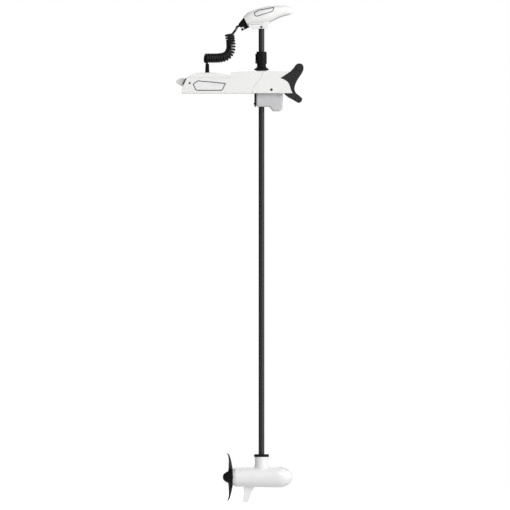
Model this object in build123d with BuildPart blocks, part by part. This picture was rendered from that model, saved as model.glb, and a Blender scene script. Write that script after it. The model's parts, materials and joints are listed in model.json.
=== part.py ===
from build123d import *
import os
from math import atan2, cos, degrees, radians, sin, sqrt, tan

os.makedirs("parts", exist_ok=True)

# Bow-mount electric trolling motor, millimetres.
# +X points to the bow, +Y to port, +Z up. The origin is on the deck, in the middle of the
# four deck bolts. The motor is deployed: its shaft stands upright just ahead of the deck edge.

# ---- driving dimensions -------------------------------------------------------------------

# clearances
RUN = 0.05              # radial clearance of a shaft in its bush
SEAT = 0.05             # clearance of a piece seated in its own body
GAP = 0.4               # clearance between pieces that move past each other

# bow plate and its two rails
CASE_HALF = 46.0        # half the width of the steering gear case, which swings between the rails
CASE_ROOM = 4.0         # between the gear case and a rail
PLATE_LENGTH = 316.0
PLATE_THICK = 6.0
RAIL_INSIDE = CASE_HALF + CASE_ROOM
RAIL_THICK = 5.0
RAIL_REAR_X = -160.0
RAIL_FRONT_X = 344.0
RAIL_REAR_TOP = 70.0
RAIL_TOP = 91.0
DECK_BOLT_LENGTH = 254.0
DECK_BOLT_WIDTH = 76.2
DECK_HOLE = 7.2

# side mouldings
SKIN_STANDOFF = 17.0    # from a rail's outer face to the outer face of the side plate
SKIN_OUTSIDE = RAIL_INSIDE + RAIL_THICK + SKIN_STANDOFF
SKIN_THICK = 5.0
TAIL_X = -178.5
SIDE_TOP = 108.0
COVER_SEAM_Z = 76.0     # where the rear cover sits on the side plates
COVER_FRONT_X = 60.0
COVER_TOP = 101.0
COVER_WALL = 4.0
FRONT_X = 365.0         # toe of the front bracket
REAR_HEAD_D = 9.0
FRONT_HEAD_D = 12.0
SCREW_D = 6.0

# tilt pivot
PIVOT_X = 101.0
PIVOT_Z = 29.0
TILT_PIN_D = 16.0
TILT_BUSH_WALL = 3.0
YOKE_BARREL_R = 17.0
YOKE_ARM_IN = 28.0
YOKE_ARM_OUT = 46.0
YOKE_ARM_HALF = 14.0
YOKE_PLATE_X = 178.0
YOKE_PLATE_THICK = 8.0

# release lever and latch
LEVER_PIVOT_X = -136.0
LEVER_PIVOT_Z = 32.0
LEVER_PIN_D = 8.0
LEVER_Y = -36.0
LEVER_WIDTH = 22.0
LEVER_TIP_X = -207.0
LATCH_Z = 40.0
LATCH_ROD_D = 8.0
LATCH_ROD_REAR_X = -126.0
LATCH_ROD_FRONT_X = 82.0
LATCH_GUIDE_X = 40.0
LATCH_GUIDE_LENGTH = 24.0
LATCH_SPRING_WIRE = 1.6
LATCH_SPRING_TURNS = 6

# steering gear case
SHAFT_X = 213.0
CASE_REAR_X = 186.0
CASE_FRONT_X = 318.0
CASE_WALL = 4.0
CASE_BOTTOM = -66.0
CASE_SEAM_Z = 60.0
CASE_TOP = 99.0
BULGE_X = 262.0
BULGE_BOTTOM = -88.0
BOSS_TOP = 112.5
GEAR_PLATE_Z = -22.0
GEAR_PLATE_THICK = 4.0
GEAR_THICK = 11.0
GEAR_MODULE = 1.5
HUB_TEETH = 27
IDLER_TEETH = 34
PINION_TEETH = 10
MOTOR_X = 289.0
STEER_MOTOR_R = 17.0
STEER_MOTOR_LENGTH = 58.0

# hub and depth collar
HUB_R = 17.0
HUB_BORE_R = 15.0
HUB_BOTTOM = -60.0
FLANGE_Z = 113.0
FLANGE_R = 35.5
NECK_Z = 126.0
NECK_R = 22.0
COLLAR_Z = 144.0
COLLAR_TOP = 205.0
COLLAR_R = 26.0
SLEEVE_R = 18.0

# shaft
SHAFT_R = 14.3          # 1 1/8 in composite tube
SHAFT_WALL = 4.0
SHAFT_BOTTOM = -1815.0
SHAFT_TOP = 338.0
CABLE_R = 3.2
CABLE_OFFSET = 6.6

# head
HEAD_BASE_Z = 317.0
HEAD_WALL = 3.0
HEAD_BOLT_Z = 325.0
HEAD_BOLT_D = 6.0

# lower unit
MOTOR_Z = -1880.0
BODY_R = 46.0           # at the rear end; the body widens towards the nose
BODY_FRONT_R = 50.5
BODY_WALL = 4.0
BODY_REAR = -125.0      # measured from the shaft axis
BODY_FRONT = 84.0
NOSE_TIP = 151.5
CAP_REAR = -138.7
CAP_REAR_R = BODY_R - 8.5
NECK_TOP_Z = -1781.0
LOWER_NECK_R = 32.0
NECK_LIP_R = 34.0
RING_TOP_Z = -1768.0
RING_R = 36.5
SKEG_BOTTOM = -2005.0
SKEG_THICK = 7.0
PROP_BASE = -140.0
PROP_HUB_R = 35.0
PROP_R = 117.5
PROP_SHAFT_R = 6.0
BEARING_R = 16.0
BEARING_WIDTH = 10.0
MAGNET_THICK = 6.0
AIR_GAP = 2.0
ARMATURE_R = BODY_R - BODY_WALL - MAGNET_THICK - AIR_GAP

# coiled cord
CORD_D = 11.5
COIL_D = 49.0
STRAIN_X = -53.0
STRAIN_Y = 46.0
STRAIN_TOP = 145.0


def side_plane(y):
    """The upright plane at y, seen from starboard: its x runs along X and its y along Z."""
    return Plane.XZ.offset(-y)


def across(x, z, y=0.0):
    """A place whose own Z runs across the boat, along Y."""
    return Location((x, y, z), (90, 0, 0))


def along(x, y, z):
    """A place whose own Z runs along the boat, along X."""
    return Location((x, y, z), (0, 90, 0))


def save(piece, name):
    piece.part.label = name
    export_step(piece.part, f"parts/{name}.step")


def from_shaft(points):
    """Points given from the shaft axis, moved to the row's frame."""
    return [(SHAFT_X + x, z) for x, z in points]


# ==== the mount, fixed to the deck =========================================================

RAIL_OUTSIDE = RAIL_INSIDE + RAIL_THICK
rail_outline = [
    (RAIL_REAR_X, 0),
    (RAIL_REAR_X, 34),
    (RAIL_REAR_X + 26, RAIL_REAR_TOP),
    (COVER_FRONT_X, RAIL_REAR_TOP),
    (COVER_FRONT_X + 16, RAIL_TOP),
    (286, RAIL_TOP),
    (RAIL_FRONT_X - 20, 44),
    (RAIL_FRONT_X, 4),
    (RAIL_FRONT_X, 0),
]
rest_bolt_places = [(292, 40), (312, 18)]
rear_screw_place = (-138, 50)
front_screw_place = (262, 17.6)
peg_places = [(20, 20), (140, 70)]

# The bow plate is one extrusion: a floor that lies on the deck and a rail along each side.
# The floor stops behind the steering gear, and the rails carry on past it over the bow.
with BuildPart() as bow_plate:
    with BuildSketch():
        Rectangle(PLATE_LENGTH, 2 * RAIL_OUTSIDE)
    extrude(amount=PLATE_THICK)
    with BuildSketch(side_plane(-RAIL_INSIDE)):
        with BuildLine():
            Polyline(rail_outline, close=True)
        make_face()
    extrude(amount=RAIL_THICK)
    mirror(about=Plane.XZ)
    with Locations((0, 0, PLATE_THICK)):
        with GridLocations(DECK_BOLT_LENGTH, DECK_BOLT_WIDTH, 2, 2):
            Hole(DECK_HOLE / 2)
    with Locations(across(PIVOT_X, PIVOT_Z)):
        Cylinder(TILT_PIN_D / 2 + SEAT, 2 * RAIL_OUTSIDE, mode=Mode.SUBTRACT)
    with Locations(across(LEVER_PIVOT_X, LEVER_PIVOT_Z)):
        Cylinder(LEVER_PIN_D / 2 + SEAT, 2 * RAIL_OUTSIDE, mode=Mode.SUBTRACT)
    rail_holes = rest_bolt_places + peg_places + [rear_screw_place, front_screw_place]
    with Locations([across(x, z) for x, z in rail_holes]):
        Cylinder(SCREW_D / 2 + SEAT, 2 * RAIL_OUTSIDE, mode=Mode.SUBTRACT)
save(bow_plate, "bow_plate")

# Side plate: the rear moulding of one side, a skin with bosses that reach in to the rail. One
# screw holds it at the tail, and two pegs push into the rail.
BOSS_Y = (RAIL_OUTSIDE + SKIN_OUTSIDE) / 2
BOSS_R = 7.0
PEG_LENGTH = RAIL_THICK - 0.5
seam_points = [(168, 0), (169, 17), (175, 29), (179, 41), (192, 54), (206, 71), (222, SIDE_TOP)]
tail_line = [
    (TAIL_X, 0),
    (TAIL_X + 3.5, 26),
    (TAIL_X + 16.5, 56),
    (TAIL_X + 28, COVER_SEAM_Z),
]
side_outline = tail_line + [
    (COVER_FRONT_X, COVER_SEAM_Z),
    (COVER_FRONT_X + 4, 100.5),
    (108, 105.4),
    (157, SIDE_TOP),
]
with BuildPart() as side_plate_right:
    with BuildSketch(side_plane(-(SKIN_OUTSIDE - SKIN_THICK))):
        with BuildLine():
            Polyline(side_outline + seam_points[::-1], close=True)
        make_face()
    extrude(amount=SKIN_THICK)
    # the top flange closes the gap above the rail
    with BuildSketch(side_plane(-(RAIL_INSIDE + 1))):
        with BuildLine():
            Polyline(
                (COVER_FRONT_X + 18, RAIL_TOP + GAP),
                (COVER_FRONT_X + 18, 101),
                (108, 105.4),
                (157, SIDE_TOP),
                (222, SIDE_TOP),
                (215, RAIL_TOP + GAP),
                close=True,
            )
        make_face()
    extrude(amount=SKIN_OUTSIDE - RAIL_INSIDE - 1)
    with Locations([across(x, z, -BOSS_Y) for x, z in peg_places + [rear_screw_place]]):
        Cylinder(BOSS_R, SKIN_OUTSIDE - RAIL_OUTSIDE)
    with Locations([across(x, z, -(RAIL_OUTSIDE - PEG_LENGTH / 2)) for x, z in peg_places]):
        Cylinder(SCREW_D / 2, PEG_LENGTH)
    with Locations(across(*rear_screw_place, -BOSS_Y)):
        Cylinder(SCREW_D / 2 + SEAT, SKIN_OUTSIDE, mode=Mode.SUBTRACT)
    chamfer(side_plate_right.faces().sort_by(Axis.Y)[0].outer_wire().edges(), 1.5)
save(side_plate_right, "side_plate_right")

with BuildPart() as side_plate_left:
    add(mirror(side_plate_right.part, about=Plane.XZ))
save(side_plate_left, "side_plate_left")

# Front bracket: the moulding ahead of the seam, with a notch in its bow end where the
# motor rest comes out.
SEAM_GAP = 0.6
front_outline = [
    (355, SIDE_TOP - 1),
    (305, 74),
    (326, 66),
    (341, 56),
    (348, 44),
    (354, 26.5),
    (359, 12),
    (FRONT_X, 0),
]
with BuildPart() as front_bracket_right:
    with BuildSketch(side_plane(-(SKIN_OUTSIDE - SKIN_THICK))):
        with BuildLine():
            Polyline([(x + SEAM_GAP, z) for x, z in seam_points] + front_outline, close=True)
        make_face()
    extrude(amount=SKIN_THICK)
    with BuildSketch(side_plane(-(RAIL_INSIDE + 1))):
        with BuildLine():
            Polyline(
                (215 + SEAM_GAP, RAIL_TOP + GAP),
                (222 + SEAM_GAP, SIDE_TOP),
                (351, SIDE_TOP - 1),
                (328, RAIL_TOP + GAP),
                close=True,
            )
        make_face()
    extrude(amount=SKIN_OUTSIDE - RAIL_INSIDE - 1)
    with Locations(across(*front_screw_place, -BOSS_Y)):
        Cylinder(BOSS_R + 1, SKIN_OUTSIDE - RAIL_OUTSIDE)
        Cylinder(SCREW_D / 2 + SEAT, SKIN_OUTSIDE, mode=Mode.SUBTRACT)
    chamfer(front_bracket_right.faces().sort_by(Axis.Y)[0].outer_wire().edges(), 1.5)
save(front_bracket_right, "front_bracket_right")

with BuildPart() as front_bracket_left:
    add(mirror(front_bracket_right.part, about=Plane.XZ))
save(front_bracket_left, "front_bracket_left")

# Rear cover: a hood over the back half of the channel, with a wall down the tail.
cover_outline = [
    (TAIL_X + 28, COVER_SEAM_Z + GAP / 2),
    (-147, 83),
    (-118, COVER_TOP - 4),
    (-88, COVER_TOP),
    (-15, COVER_TOP),
    (29, COVER_TOP - 6),
    (COVER_FRONT_X - 2, 88.5),
    (COVER_FRONT_X - 2, COVER_SEAM_Z + GAP / 2),
]
tail_outline = tail_line + [(x + COVER_WALL, z) for x, z in tail_line[::-1]]
RELIEF_HOLE_R = 7.0
LEVER_SLOT = LEVER_WIDTH + 4
with BuildPart() as rear_cover:
    with BuildSketch(Plane.XZ):
        with BuildLine():
            Polyline(cover_outline, close=True)
        make_face()
    extrude(amount=SKIN_OUTSIDE, both=True)
    fillet(rear_cover.edges().filter_by(Axis.X).group_by(Axis.Z)[-1], 12)
    with BuildSketch(Plane.XZ):
        with BuildLine():
            Polyline(cover_outline, close=True)
        make_face()
        offset(amount=-COVER_WALL, kind=Kind.INTERSECTION)
    extrude(amount=SKIN_OUTSIDE - 8, both=True, mode=Mode.SUBTRACT)
    with Locations((-45, 0, COVER_SEAM_Z)):
        Box(190, 2 * (SKIN_OUTSIDE - 8), 2 * COVER_WALL + 2, mode=Mode.SUBTRACT)
    with BuildSketch(Plane.XZ):
        with BuildLine():
            Polyline(tail_outline, close=True)
        make_face()
    extrude(amount=SKIN_OUTSIDE - SKIN_THICK - GAP, both=True)
    with Locations((TAIL_X + 20, LEVER_Y, 48)):
        Box(60, LEVER_SLOT, 64, mode=Mode.SUBTRACT)
    with Locations((STRAIN_X, STRAIN_Y, COVER_TOP)):
        Cylinder(RELIEF_HOLE_R, 4 * COVER_WALL, mode=Mode.SUBTRACT)
save(rear_cover, "rear_cover")

# Lever seal: a rubber strip on the tail wall, on both sides of the lever slot.
SEAL_STRIP_THICK = 5.0


def tail_x(z):
    """Where the tail's outer face lies at the height z."""
    for (x0, z0), (x1, z1) in zip(tail_line, tail_line[1:]):
        if z <= z1:
            return x0 + (x1 - x0) * (z - z0) / (z1 - z0)


with BuildPart() as lever_seal:
    with BuildSketch(Plane.XZ):
        with BuildLine():
            seal_inner = [(tail_x(z) - SEAT, z) for z in (44, 56, 73)]
            seal_outer = [(tail_x(z - 2) - SEAL_STRIP_THICK, z) for z in (75, 58, 46)]
            Polyline(seal_inner + seal_outer, close=True)
        make_face()
    extrude(amount=SKIN_OUTSIDE - SKIN_THICK - 1, both=True)
    with Locations((TAIL_X + 20, LEVER_Y, 48)):
        Box(60, LEVER_SLOT, 70, mode=Mode.SUBTRACT)
save(lever_seal, "lever_seal")

# Motor rest: two wings, one on the outer face of each rail, whose lobes cradle the motor
# when it lies stowed. The shaft swings up between them.
REST_IN = RAIL_OUTSIDE + SEAT
REST_THICK = 8.6
LOBE_IN = RAIL_INSIDE
with BuildPart() as motor_rest_right:
    with BuildSketch(side_plane(-REST_IN)):
        with BuildLine() as wing:
            l1 = Spline((399, 146), (416, 137), (418.5, 118), (410, 98), (396, 77), (384, 56))
            l2 = Spline(l1 @ 1, (377, 38), (375, 20), (381, 3), (394, -9), (406, -19))
            l3 = Spline(l2 @ 1, (412, -32), (404, -43), (391, -45))
            l4 = Polyline(l3 @ 1, (362, -28), (343, -18), (325, -3), (325, 4), (284, 10), (278, 36))
            l5 = Polyline(l4 @ 1, (284, 66), (305, 74), (323, 85), (350, 103), (368, 121), (380, 138))
            l6 = Spline(l5 @ 1, (388, 144), l1 @ 0)
        make_face()
    extrude(amount=REST_THICK)
    with Locations([across(x, z, -REST_IN) for x, z in rest_bolt_places]):
        Cylinder(SCREW_D / 2 + SEAT, 4 * REST_THICK, mode=Mode.SUBTRACT)
    # thicker lobes, clear of the rails
    with BuildSketch(side_plane(-LOBE_IN)):
        with Locations((398, 126), (394, -28)):
            Circle(14)
    extrude(amount=SKIN_OUTSIDE - LOBE_IN - 2)
save(motor_rest_right, "motor_rest_right")

with BuildPart() as motor_rest_left:
    add(mirror(motor_rest_right.part, about=Plane.XZ))
save(motor_rest_left, "motor_rest_left")

# Fasteners of the mount: bolts of the rest wings, with their heads on the wing, and the screws
# of the side mouldings, with round dark heads on the skin and shanks into the rail.
with BuildPart() as mount_screws:
    for x, z in rest_bolt_places:
        head_y = REST_IN + REST_THICK + SEAT
        with Locations(across(x, z, -(head_y + 1))):
            Cylinder(5, 2)
        with Locations(across(x, z, -(RAIL_INSIDE - 3 + head_y) / 2)):
            Cylinder(SCREW_D / 2, head_y - RAIL_INSIDE + 3)
    for (x, z), head_d in ((rear_screw_place, REAR_HEAD_D), (front_screw_place, FRONT_HEAD_D)):
        with Locations(across(x, z, -(SKIN_OUTSIDE + 1 + SEAT))):
            Cylinder(head_d / 2, 2)
        with Locations(across(x, z, -(SKIN_OUTSIDE + SEAT + RAIL_INSIDE + 1) / 2)):
            Cylinder(SCREW_D / 2, SKIN_OUTSIDE + SEAT - RAIL_INSIDE - 1)
    mirror(about=Plane.XZ)
save(mount_screws, "mount_screws")

# Tilt pin across both rails, held by a clip outside each.
CLIP_THICK = 1.5
TILT_PIN_HALF = RAIL_OUTSIDE + 5.0
with BuildPart() as tilt_pin:
    with Locations(across(PIVOT_X, PIVOT_Z)):
        Cylinder(TILT_PIN_D / 2, 2 * TILT_PIN_HALF)
    chamfer(tilt_pin.edges(), 0.8)
save(tilt_pin, "tilt_pin")

with BuildPart() as tilt_pin_clips:
    with Locations(across(PIVOT_X, PIVOT_Z, -(RAIL_OUTSIDE + SEAT + CLIP_THICK / 2))):
        Cylinder(TILT_PIN_D / 2 + 3.5, CLIP_THICK)
        Cylinder(TILT_PIN_D / 2 + SEAT, CLIP_THICK, mode=Mode.SUBTRACT)
    mirror(about=Plane.XZ)
save(tilt_pin_clips, "tilt_pin_clips")

# Lever pin: through the starboard rail, with an inner bracket on the floor.
EAR_Y = LEVER_Y + LEVER_WIDTH / 2 + GAP
EAR_THICK = 5.0
LEVER_PIN_LENGTH = RAIL_OUTSIDE + 3 + EAR_Y + EAR_THICK + 2
with BuildPart() as lever_pin:
    with Locations(across(LEVER_PIVOT_X, LEVER_PIVOT_Z, EAR_Y + EAR_THICK + 2 - LEVER_PIN_LENGTH / 2)):
        Cylinder(LEVER_PIN_D / 2, LEVER_PIN_LENGTH)
save(lever_pin, "lever_pin")

# Latch guide: a block on the floor that the latch rod slides in, and the inner ear of the lever pin.
with BuildPart() as latch_guide:
    with Locations((LATCH_GUIDE_X, LEVER_Y, PLATE_THICK)):
        guide_height = LATCH_Z - PLATE_THICK + 9
        Box(LATCH_GUIDE_LENGTH, 20, guide_height, align=(Align.CENTER, Align.CENTER, Align.MIN))
    with Locations(along(LATCH_GUIDE_X, LEVER_Y, LATCH_Z)):
        Cylinder(LATCH_ROD_D / 2 + RUN, LATCH_GUIDE_LENGTH + 2, mode=Mode.SUBTRACT)
    with Locations((LEVER_PIVOT_X, EAR_Y + EAR_THICK / 2, PLATE_THICK)):
        Box(18, EAR_THICK, LEVER_PIVOT_Z - PLATE_THICK + 9, align=(Align.CENTER, Align.CENTER, Align.MIN))
    with Locations(across(LEVER_PIVOT_X, LEVER_PIVOT_Z, EAR_Y)):
        Cylinder(LEVER_PIN_D / 2 + SEAT, 4 * EAR_THICK, mode=Mode.SUBTRACT)
save(latch_guide, "latch_guide")

# Latch rod: a steel bar along the floor whose nose locks the yoke, with the collar that the
# spring pushes on.
SPRING_COLLAR_X = LATCH_GUIDE_X - 62.0
SPRING_COLLAR_THICK = 4.0
with BuildPart() as latch_rod:
    rod_length = LATCH_ROD_FRONT_X - LATCH_ROD_REAR_X
    with Locations(along((LATCH_ROD_FRONT_X + LATCH_ROD_REAR_X) / 2, LEVER_Y, LATCH_Z)):
        Cylinder(LATCH_ROD_D / 2, rod_length)
    with Locations(along(SPRING_COLLAR_X, LEVER_Y, LATCH_Z)):
        Cylinder(LATCH_ROD_D / 2 + 3.5, SPRING_COLLAR_THICK)
save(latch_rod, "latch_rod")

# Latch spring between the rod's collar and the guide.
SPRING_R = LATCH_ROD_D / 2 + LATCH_SPRING_WIRE / 2 + 0.6
SPRING_START = SPRING_COLLAR_X + SPRING_COLLAR_THICK / 2 + LATCH_SPRING_WIRE / 2 + 0.1
SPRING_END = LATCH_GUIDE_X - LATCH_GUIDE_LENGTH / 2 - LATCH_SPRING_WIRE / 2 - 0.1
with BuildPart() as latch_spring:
    with BuildLine() as coil:
        Helix(
            pitch=(SPRING_END - SPRING_START) / LATCH_SPRING_TURNS,
            height=SPRING_END - SPRING_START,
            radius=SPRING_R,
            center=(SPRING_START, LEVER_Y, LATCH_Z),
            direction=(1, 0, 0),
        )
    with BuildSketch(Plane(coil.line @ 0, z_dir=coil.line % 0)):
        Circle(LATCH_SPRING_WIRE / 2)
    sweep(path=coil.line, is_frenet=True)
save(latch_spring, "latch_spring")

# Release lever: a tab that stands out behind the tail, on a hub round the lever pin.
with BuildPart() as release_lever:
    with BuildSketch(side_plane(LEVER_Y + LEVER_WIDTH / 2)):
        with BuildLine():
            Polyline(
                (LEVER_PIVOT_X + 8, LEVER_PIVOT_Z),
                (LEVER_PIVOT_X, LEVER_PIVOT_Z + 10),
                (LEVER_PIVOT_X - 22, LEVER_PIVOT_Z + 39),
                (LEVER_PIVOT_X - 40, LEVER_PIVOT_Z + 44),
                (LEVER_TIP_X + 15, LEVER_PIVOT_Z + 39),
                (LEVER_TIP_X + 3, LEVER_PIVOT_Z + 30),
                (LEVER_TIP_X, LEVER_PIVOT_Z + 24),
                (LEVER_TIP_X + 3, LEVER_PIVOT_Z + 18),
                (LEVER_TIP_X + 15, LEVER_PIVOT_Z + 10),
                (LEVER_PIVOT_X - 40, LEVER_PIVOT_Z + 4),
                (LEVER_PIVOT_X - 6, LEVER_PIVOT_Z - 8),
                (LEVER_PIVOT_X + 4, LEVER_PIVOT_Z - 8),
                close=True,
            )
        make_face()
    extrude(amount=LEVER_WIDTH)
    fillet(release_lever.edges().filter_by(Axis.Y).group_by(Axis.X)[0], 3)
    with Locations(across(LEVER_PIVOT_X, LEVER_PIVOT_Z, LEVER_Y)):
        Cylinder(LEVER_PIN_D / 2 + RUN, LEVER_WIDTH + 2, mode=Mode.SUBTRACT)
save(release_lever, "release_lever")

# Strain relief of the coiled cord: a tapered rubber sleeve with soft ribs, on a stem through
# the rear cover.
RELIEF_R = 11.0
RELIEF_TOP_R = 9.5
RELIEF_STEM_R = RELIEF_HOLE_R - 0.2
RELIEF_RIBS = 6
RIB_DEPTH = 1.2
rib_pitch = (STRAIN_TOP - COVER_TOP) / RELIEF_RIBS
rib_points = []
for rib in range(RELIEF_RIBS):
    foot = COVER_TOP + rib * rib_pitch
    radius = RELIEF_R - (RELIEF_R - RELIEF_TOP_R) * rib / (RELIEF_RIBS - 1)
    for share, depth in ((0, 0), (0.6, 0), (0.75, RIB_DEPTH), (1, RIB_DEPTH)):
        rib_points.append((STRAIN_X + radius - depth, foot + share * rib_pitch))
with BuildPart() as cord_strain_relief:
    with BuildSketch(Plane.XZ.offset(-STRAIN_Y)):
        with BuildLine():
            Polyline(
                [
                    (STRAIN_X, COVER_TOP - 2 * COVER_WALL),
                    (STRAIN_X + RELIEF_STEM_R, COVER_TOP - 2 * COVER_WALL),
                    (STRAIN_X + RELIEF_STEM_R, COVER_TOP),
                ]
                + rib_points
                + [(STRAIN_X, STRAIN_TOP)],
                close=True,
            )
        make_face()
    revolve(axis=Axis((STRAIN_X, STRAIN_Y, 0), (0, 0, 1)))
save(cord_strain_relief, "cord_strain_relief")

# ==== the cord =============================================================================


def tangent_radii(points):
    """The arc at each corner of a route: 0.45 of its shorter run, over the tangent of half the turn."""
    radii = []
    for before, here, after in zip(points, points[1:], points[2:]):
        first = Vector(*here) - Vector(*before)
        second = Vector(*after) - Vector(*here)
        turn = radians(first.get_angle(second))
        radii.append(0.45 * min(first.length, second.length) / tan(turn / 2))
    return radii


# The coil hangs to port of the mount, so that it lies beside the mount when the motor is stowed.
coil_route = [
    (SHAFT_X - 158, 101, 293),
    (SHAFT_X - 150.5, 103, 258),
    (SHAFT_X - 149, 100, 213),
    (SHAFT_X - 171, 91, 181),
    (SHAFT_X - 216, 75, 173),
    (SHAFT_X - 276, STRAIN_Y + 12, 174),
]
lead_route = [
    (SHAFT_X - 109.1, 0, 331.4),
    (SHAFT_X - 117.6, 0, 327.5),
    (SHAFT_X - 124.6, 4.4, 324.6),
    (SHAFT_X - 128.2, 13.5, 322.6),
    (SHAFT_X - 127.6, 30, 320.8),
    (SHAFT_X - 125, 52, 318.4),
    (SHAFT_X - 124.4, 77, 312.5),
    (SHAFT_X - 131.6, 95, 302.6),
]

# The tail stands between the strain relief and the underside of the coil, a little aside of
# the coil's middle.
TAIL_GAP = 0.5
TAIL_ASIDE = 9.0
coil_depth = sqrt((COIL_D / 2) ** 2 - TAIL_ASIDE**2)
tail_length = coil_route[-1][2] - coil_depth - TAIL_GAP - STRAIN_TOP
with BuildPart() as cord_tail:
    with Locations((STRAIN_X, STRAIN_Y, STRAIN_TOP + SEAT)):
        Cylinder(CORD_D / 2, tail_length, align=(Align.CENTER, Align.CENTER, Align.MIN))
save(cord_tail, "cord_tail")

# The coil's outer shape, one solid of its outside diameter.
coil_radii = tangent_radii(coil_route)
with BuildPart() as coil_cord:
    with BuildLine() as coil_line:
        FilletPolyline(coil_route, radius=coil_radii)
    with BuildSketch(Plane(coil_line.line @ 0, z_dir=coil_line.line % 0)):
        Circle(COIL_D / 2)
    sweep(path=coil_line.line)
save(coil_cord, "coil_cord")

# The lead from the coil's top up to the boot at the back of the head.
lead_radii = tangent_radii(lead_route)
with BuildPart() as cord_lead:
    with BuildLine() as lead_line:
        FilletPolyline(lead_route, radius=lead_radii)
    with BuildSketch(Plane(lead_line.line @ 0, z_dir=lead_line.line % 0)):
        Circle(CORD_D / 2)
    sweep(path=lead_line.line)
save(cord_lead, "cord_lead")
print("cord radii", [round(r) for r in coil_radii], [round(r) for r in lead_radii])

# ==== the steering unit, which tilts on the mount ==========================================

# Yoke: a black casting with two arms from the pivot and a plate that carries the gear case.
yoke_screw_places = [(-30, -50), (30, -50), (-30, 50), (30, 50)]
with BuildPart() as tilt_yoke:
    with Locations(across(PIVOT_X, PIVOT_Z)):
        Cylinder(YOKE_BARREL_R, 2 * YOKE_ARM_OUT)
    with Locations(((PIVOT_X + YOKE_PLATE_X) / 2, 0, PIVOT_Z)):
        Box(YOKE_PLATE_X - PIVOT_X + 2, 2 * YOKE_ARM_OUT, 2 * YOKE_ARM_HALF)
    with Locations((PIVOT_X + 20, 0, PIVOT_Z)):
        Box(120, 2 * YOKE_ARM_IN, 4 * YOKE_BARREL_R, mode=Mode.SUBTRACT)
    with BuildSketch(Plane.XY.offset(CASE_BOTTOM)):
        with Locations((YOKE_PLATE_X + YOKE_PLATE_THICK / 2, 0)):
            Rectangle(YOKE_PLATE_THICK, 2 * CASE_HALF - 4)
    extrude(amount=CASE_SEAM_Z - CASE_BOTTOM - 1)
    fillet(tilt_yoke.edges().filter_by(Axis.Y).group_by(Axis.Z)[0].sort_by(Axis.X)[0], YOKE_PLATE_THICK - 2)
    with Locations(across(PIVOT_X, PIVOT_Z)):
        Cylinder(TILT_PIN_D / 2 + TILT_BUSH_WALL + SEAT, 2 * YOKE_ARM_OUT + 2, mode=Mode.SUBTRACT)
    with Locations([along(YOKE_PLATE_X, y, z) for y, z in yoke_screw_places]):
        Cylinder(SCREW_D / 2 + SEAT, 4 * YOKE_PLATE_THICK, mode=Mode.SUBTRACT)
save(tilt_yoke, "tilt_yoke")

# Gear case: a deep tray open at the top, with a bulge ahead for the steering motor.
CASE_SIDE_WALL = 8.0
CASE_EDGE_R = 10.0
CASE_CORNER_R = 12.0
CASE_NOSE_R = 22.0
LOWER_BUSH_R = 21.0
LOWER_BUSH_Z = CASE_BOTTOM + CASE_WALL + 0.5
LOWER_BUSH_LENGTH = 16.0
SEAL_R = 20.0
case_corners = [
    (CASE_REAR_X, CASE_SEAM_Z),
    (CASE_REAR_X, CASE_BOTTOM),
    (BULGE_X - 10, CASE_BOTTOM),
    (BULGE_X + 6, BULGE_BOTTOM),
    (CASE_FRONT_X - 2, BULGE_BOTTOM),
    (CASE_FRONT_X, CASE_SEAM_Z),
]


def case_section(wall):
    """The case seen from the side, or its hollow when a wall is given."""
    with BuildSketch(Plane.XZ) as section:
        with BuildLine():
            hull = FilletPolyline(
                case_corners, radius=[CASE_CORNER_R, CASE_CORNER_R, CASE_CORNER_R, CASE_NOSE_R]
            )
            Line(hull @ 1, hull @ 0)
        make_face()
        if wall:
            offset(amount=-wall)
    return section.sketch


with BuildPart() as case_hollow:
    extrude(case_section(CASE_WALL), amount=CASE_HALF - CASE_SIDE_WALL, both=True)
    inside_length = CASE_FRONT_X - CASE_REAR_X - 2 * CASE_WALL
    with Locations(((CASE_REAR_X + CASE_FRONT_X) / 2 - 1, 0, CASE_SEAM_Z)):
        Box(inside_length - 2, 2 * (CASE_HALF - CASE_SIDE_WALL), 2 * CASE_WALL + 2)
    with Locations((SHAFT_X, 0, CASE_BOTTOM)):
        boss_height = LOWER_BUSH_Z + LOWER_BUSH_LENGTH - CASE_BOTTOM
        Cylinder(
            LOWER_BUSH_R + 3.5,
            boss_height,
            align=(Align.CENTER, Align.CENTER, Align.MIN),
            mode=Mode.SUBTRACT,
        )

with BuildPart() as gear_case:
    extrude(case_section(0), amount=CASE_HALF, both=True)
    fillet(gear_case.faces().sort_by(Axis.X)[-1].edges().filter_by(Axis.Y, reverse=True), CASE_EDGE_R)
    add(case_hollow.part, mode=Mode.SUBTRACT)
    with Locations((SHAFT_X, 0, LOWER_BUSH_Z)):
        Cylinder(LOWER_BUSH_R + SEAT, 40, align=(Align.CENTER, Align.CENTER, Align.MIN), mode=Mode.SUBTRACT)
    with Locations((SHAFT_X, 0, CASE_BOTTOM)):
        Cylinder(SEAL_R + SEAT, 40, mode=Mode.SUBTRACT)
    with Locations([along(CASE_REAR_X, y, z) for y, z in yoke_screw_places]):
        Cylinder(SCREW_D / 2 + SEAT, 3 * CASE_WALL, mode=Mode.SUBTRACT)
save(gear_case, "gear_case")

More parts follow.
